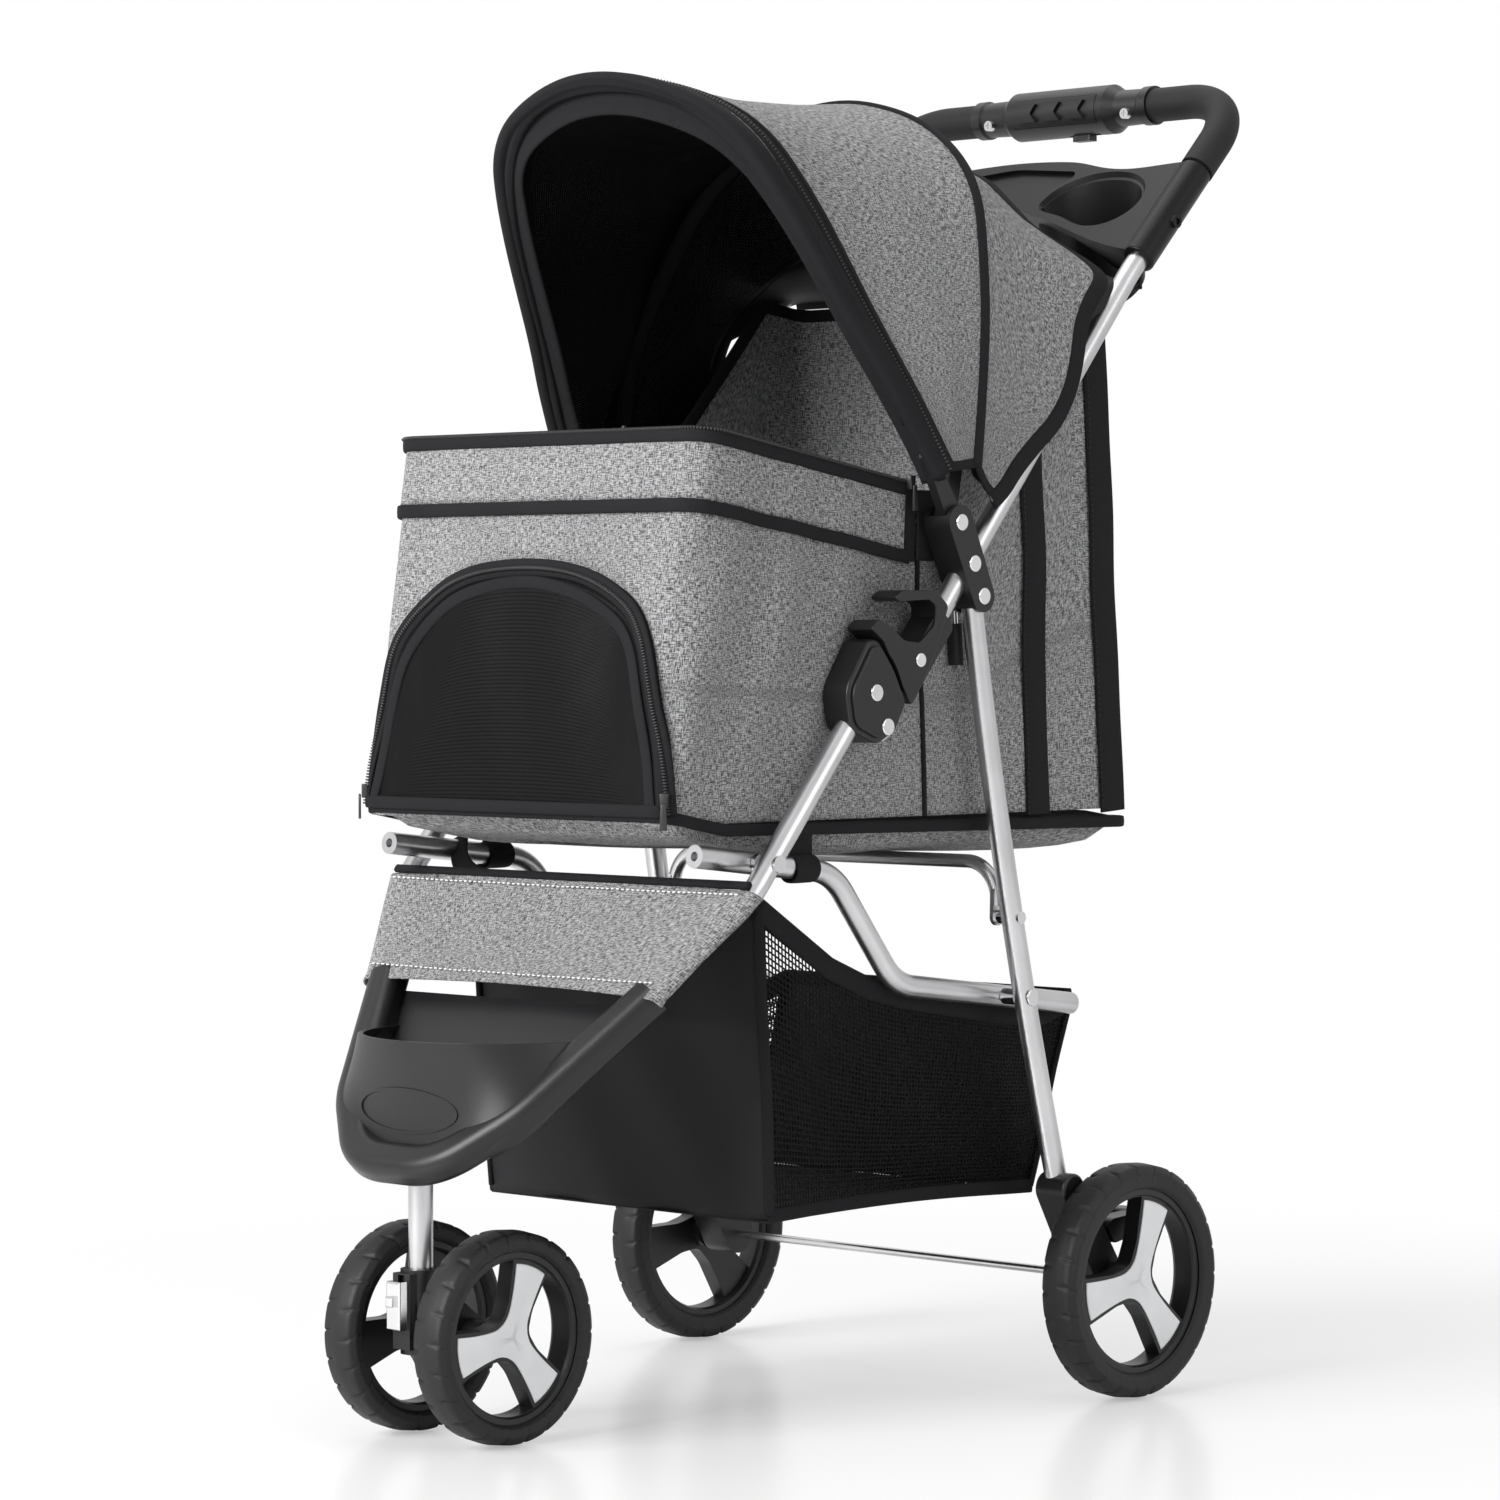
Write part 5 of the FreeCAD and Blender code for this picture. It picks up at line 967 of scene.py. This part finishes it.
# ---- wheels ----
# Foam tyres with staggered wave blocks round the tread, on black three-spoke rims whose
# outer face carries a pale pressed cover in the shape of a Y.
tyre_foam = plain_material("tyre_foam", (0.010, 0.010, 0.011), 0.50, 0.07, 1200.0, 0.8, bump=0.0003, gleam=0.35)
pale_cover = plain_material("pale_cover", (0.80, 0.81, 0.82), 0.34, 0.04, 1500.0, 0.2)
WHEELS = (("front", 0.0454, -0.295, 0.0735, 0.0735, 0.031, 0.0534, 22),
          ("rear", 0.219, 0.164, 0.085, 0.085, 0.030, 0.061, 26))


CUT_DEPTH = 0.0020


def tread(turn, q, radius, width, seat, waves):
    """Tyre section at q from inner bead over the crown to outer bead, lumped round the wheel.

    The section is a rounded box. Shallow narrow cuts cross its shoulders; their phase bends with
    the distance from the middle, so that each is a short wave.
    """
    t = np.interp(q, [0, 0.10, 0.28, 0.40, 0.60, 0.72, 0.90, 1.0],
                  [-0.36, -0.46, -0.50, -0.40, 0.40, 0.50, 0.46, 0.36])
    r = np.interp(q, [0, 0.10, 0.28, 0.40, 0.5, 0.60, 0.72, 0.90, 1.0],
                  [seat, seat + 0.0025, radius - 0.0065, radius - 0.0012, radius, radius - 0.0012, radius - 0.0065,
                   seat + 0.0025, seat])
    across = t * width + 0 * turn
    bent = waves * turn + 1.5 * np.sin(across / width * 2 * math.pi) + 0.5 * np.sin(waves * turn)
    shoulder = np.clip((np.abs(across) / width - 0.16) / 0.06, 0, 1)
    zone = np.clip((r - (radius - 0.0145)) / 0.005, 0, 1) * shoulder
    cut = np.exp(-(np.sin(bent / 2) / 0.20) ** 2)
    return across, r - CUT_DEPTH * zone * cut


for kind, x, y, z, radius, width, opening, waves in WHEELS:
    for side, sign in SIDES:
        turn = np.linspace(0, 2 * math.pi, waves * 18, endpoint=False)
        q = np.linspace(0, 1, 33)
        across, r = tread(turn[None, :], q[:, None], radius, width, opening + 0.0058, waves)
        turns = turn[None, :] + 0 * across
        points = np.stack([sign * (x + across), y + r * np.cos(turns), z + r * np.sin(turns)], -1)
        tyre = piece(f"{kind}_tyre_{side}_tread", points, grid_faces(33, len(turn), True, turned=sign > 0), tyre_foam,
                     f"{kind}_wheel_{side}")
        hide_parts(f"{kind}_tyre_{side}")
        # pale Y cover: flat, with flared arms a little narrower than the spokes under it
        near = np.interp(np.linspace(0, 1, 60, endpoint=False), [0, 0.12, 0.8, 1], np.radians([0, 13, 30, 60]))
        near = np.concatenate([near, [math.radians(60.0)], near[:0:-1]])
        sense = np.concatenate([np.ones(60), -np.ones(60)])
        spin = np.concatenate([math.radians(70.0 + 120.0 * i) + np.where(sense > 0, near, 2 * math.pi / 3 - near)
                               for i in range(3)])
        flare = 0.0065 / opening ** 2
        slant = np.sin(np.tile(near, 3))
        root = slant ** 2 - 4 * flare * 0.0081
        edge = np.where(root > 0, (slant - np.sqrt(np.maximum(root, 0))) / (2 * flare), 1.0)
        reach = np.minimum(opening - 0.0025, (edge ** 4 + 0.0128 ** 4) ** 0.25)
        s = np.array([0.0, 0.3, 0.55, 0.75, 0.9, 0.96, 0.985, 1.0, 1.0])[:, None]
        r = s * reach[None, :]
        face = x + width / 2 - 0.007 + np.array([9, 9, 9, 9, 9, 9, 8, 5, -3])[:, None] * 0.0001
        points = np.stack([sign * (face + 0 * r), y + r * np.cos(spin)[None, :], z + r * np.sin(spin)[None, :]], -1)
        cover = piece(f"{kind}_cover_{side}", points, grid_faces(len(s), len(spin), True, turned=sign > 0), pale_cover,
                      f"{kind}_wheel_{side}")
        wall = cover.modifiers.new("thickness", "SOLIDIFY")
        wall.thickness, wall.offset = 0.0012, -1.0

# ---- what each cloth is cut to ----
# Every cloth's size before it is sewn in: its longest run across and down, and the flat area
# where the cut isn't a rectangle, with the trims that are sewn on to it.
RAILS = ["seat_rail_left", "seat_rail_right"]
cuts = [
    ("cabin_cloth", 1.560, 0.382, 0.410, "hung", RAILS, ("hem_piping", "rim_", "rear_", "side_", "doorway_")),
    ("cabin_band", 0.727, 0.047, 0.0334, "stretched", ["cabin_cloth"], ("band_",)),
    ("joint_patch_left", 0.041, 0.050, None, "stretched", ["cabin_cloth"], ()),
    ("joint_patch_right", 0.041, 0.050, None, "stretched", ["cabin_cloth"], ()),
    ("cabin_base", 0.320, 0.500, 0.152, "hung", RAILS, ()),
    ("cabin_board", 0.310, 0.490, 0.144, "laid", ["cabin_base"], ()),
    ("door_net", 0.295, 0.166, 0.0399, "stretched", ["cabin_cloth"], ("door_",)),
    ("canopy_cloth", 0.853, 0.399, 0.2074, "stretched", ["bow_front", "bow_middle"], ("canopy_",)),
    ("canopy_lining", 0.785, 0.367, 0.181, "stretched", ["bow_front", "bow_middle"], ()),
    ("canopy_rear_flap", 0.501, 0.090, 0.026, "hung", ["canopy_cloth"], ("canopy_flap_hem",)),
    ("front_panel_cloth", 0.384, 0.101, 0.0325, "stretched", ["front_leg_left", "front_leg_right"], ("panel_",)),
    ("basket_front", 0.290, 0.223, None, "hung", RAILS, ("basket_front_",)),
    ("basket_back", 0.289, 0.147, None, "hung", RAILS, ("basket_back_", "basket_rear_")),
    ("basket_net_left", 0.355, 0.223, 0.047, "hung", ["seat_rail_left"], ("basket_hem_left",)),
    ("basket_net_right", 0.355, 0.223, 0.047, "hung", ["seat_rail_right"], ("basket_hem_right",)),
    ("basket_floor", 0.281, 0.276, None, "hung", ["basket_front", "basket_back"], ("basket_floor_edge",))]
sheet_names = {cut[0] for cut in cuts}
taken = set()
for name, width, length, area, held, rests, trims in reversed(cuts):
    sewn = [item for item in bpy.context.scene.objects
            if item.type == "MESH" and item.name not in sheet_names and item.name not in taken
            and "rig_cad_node" not in item and item.name.startswith(tuple(trims) or "-")
            and not item.name.endswith(("_tread", "_cover_left", "_cover_right")) and "puller" not in item.name]
    taken |= {item.name for item in sewn}

# every piece riding on the seat frame or the door, but the webbing, gets a mesh of its own
for item in list(bpy.context.scene.objects):
    if item.type == "MESH" and body_of(item) in ([SEAT], ["door"]) and "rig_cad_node" not in item \
            and not item.name.startswith("webbing"):
        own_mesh(item)
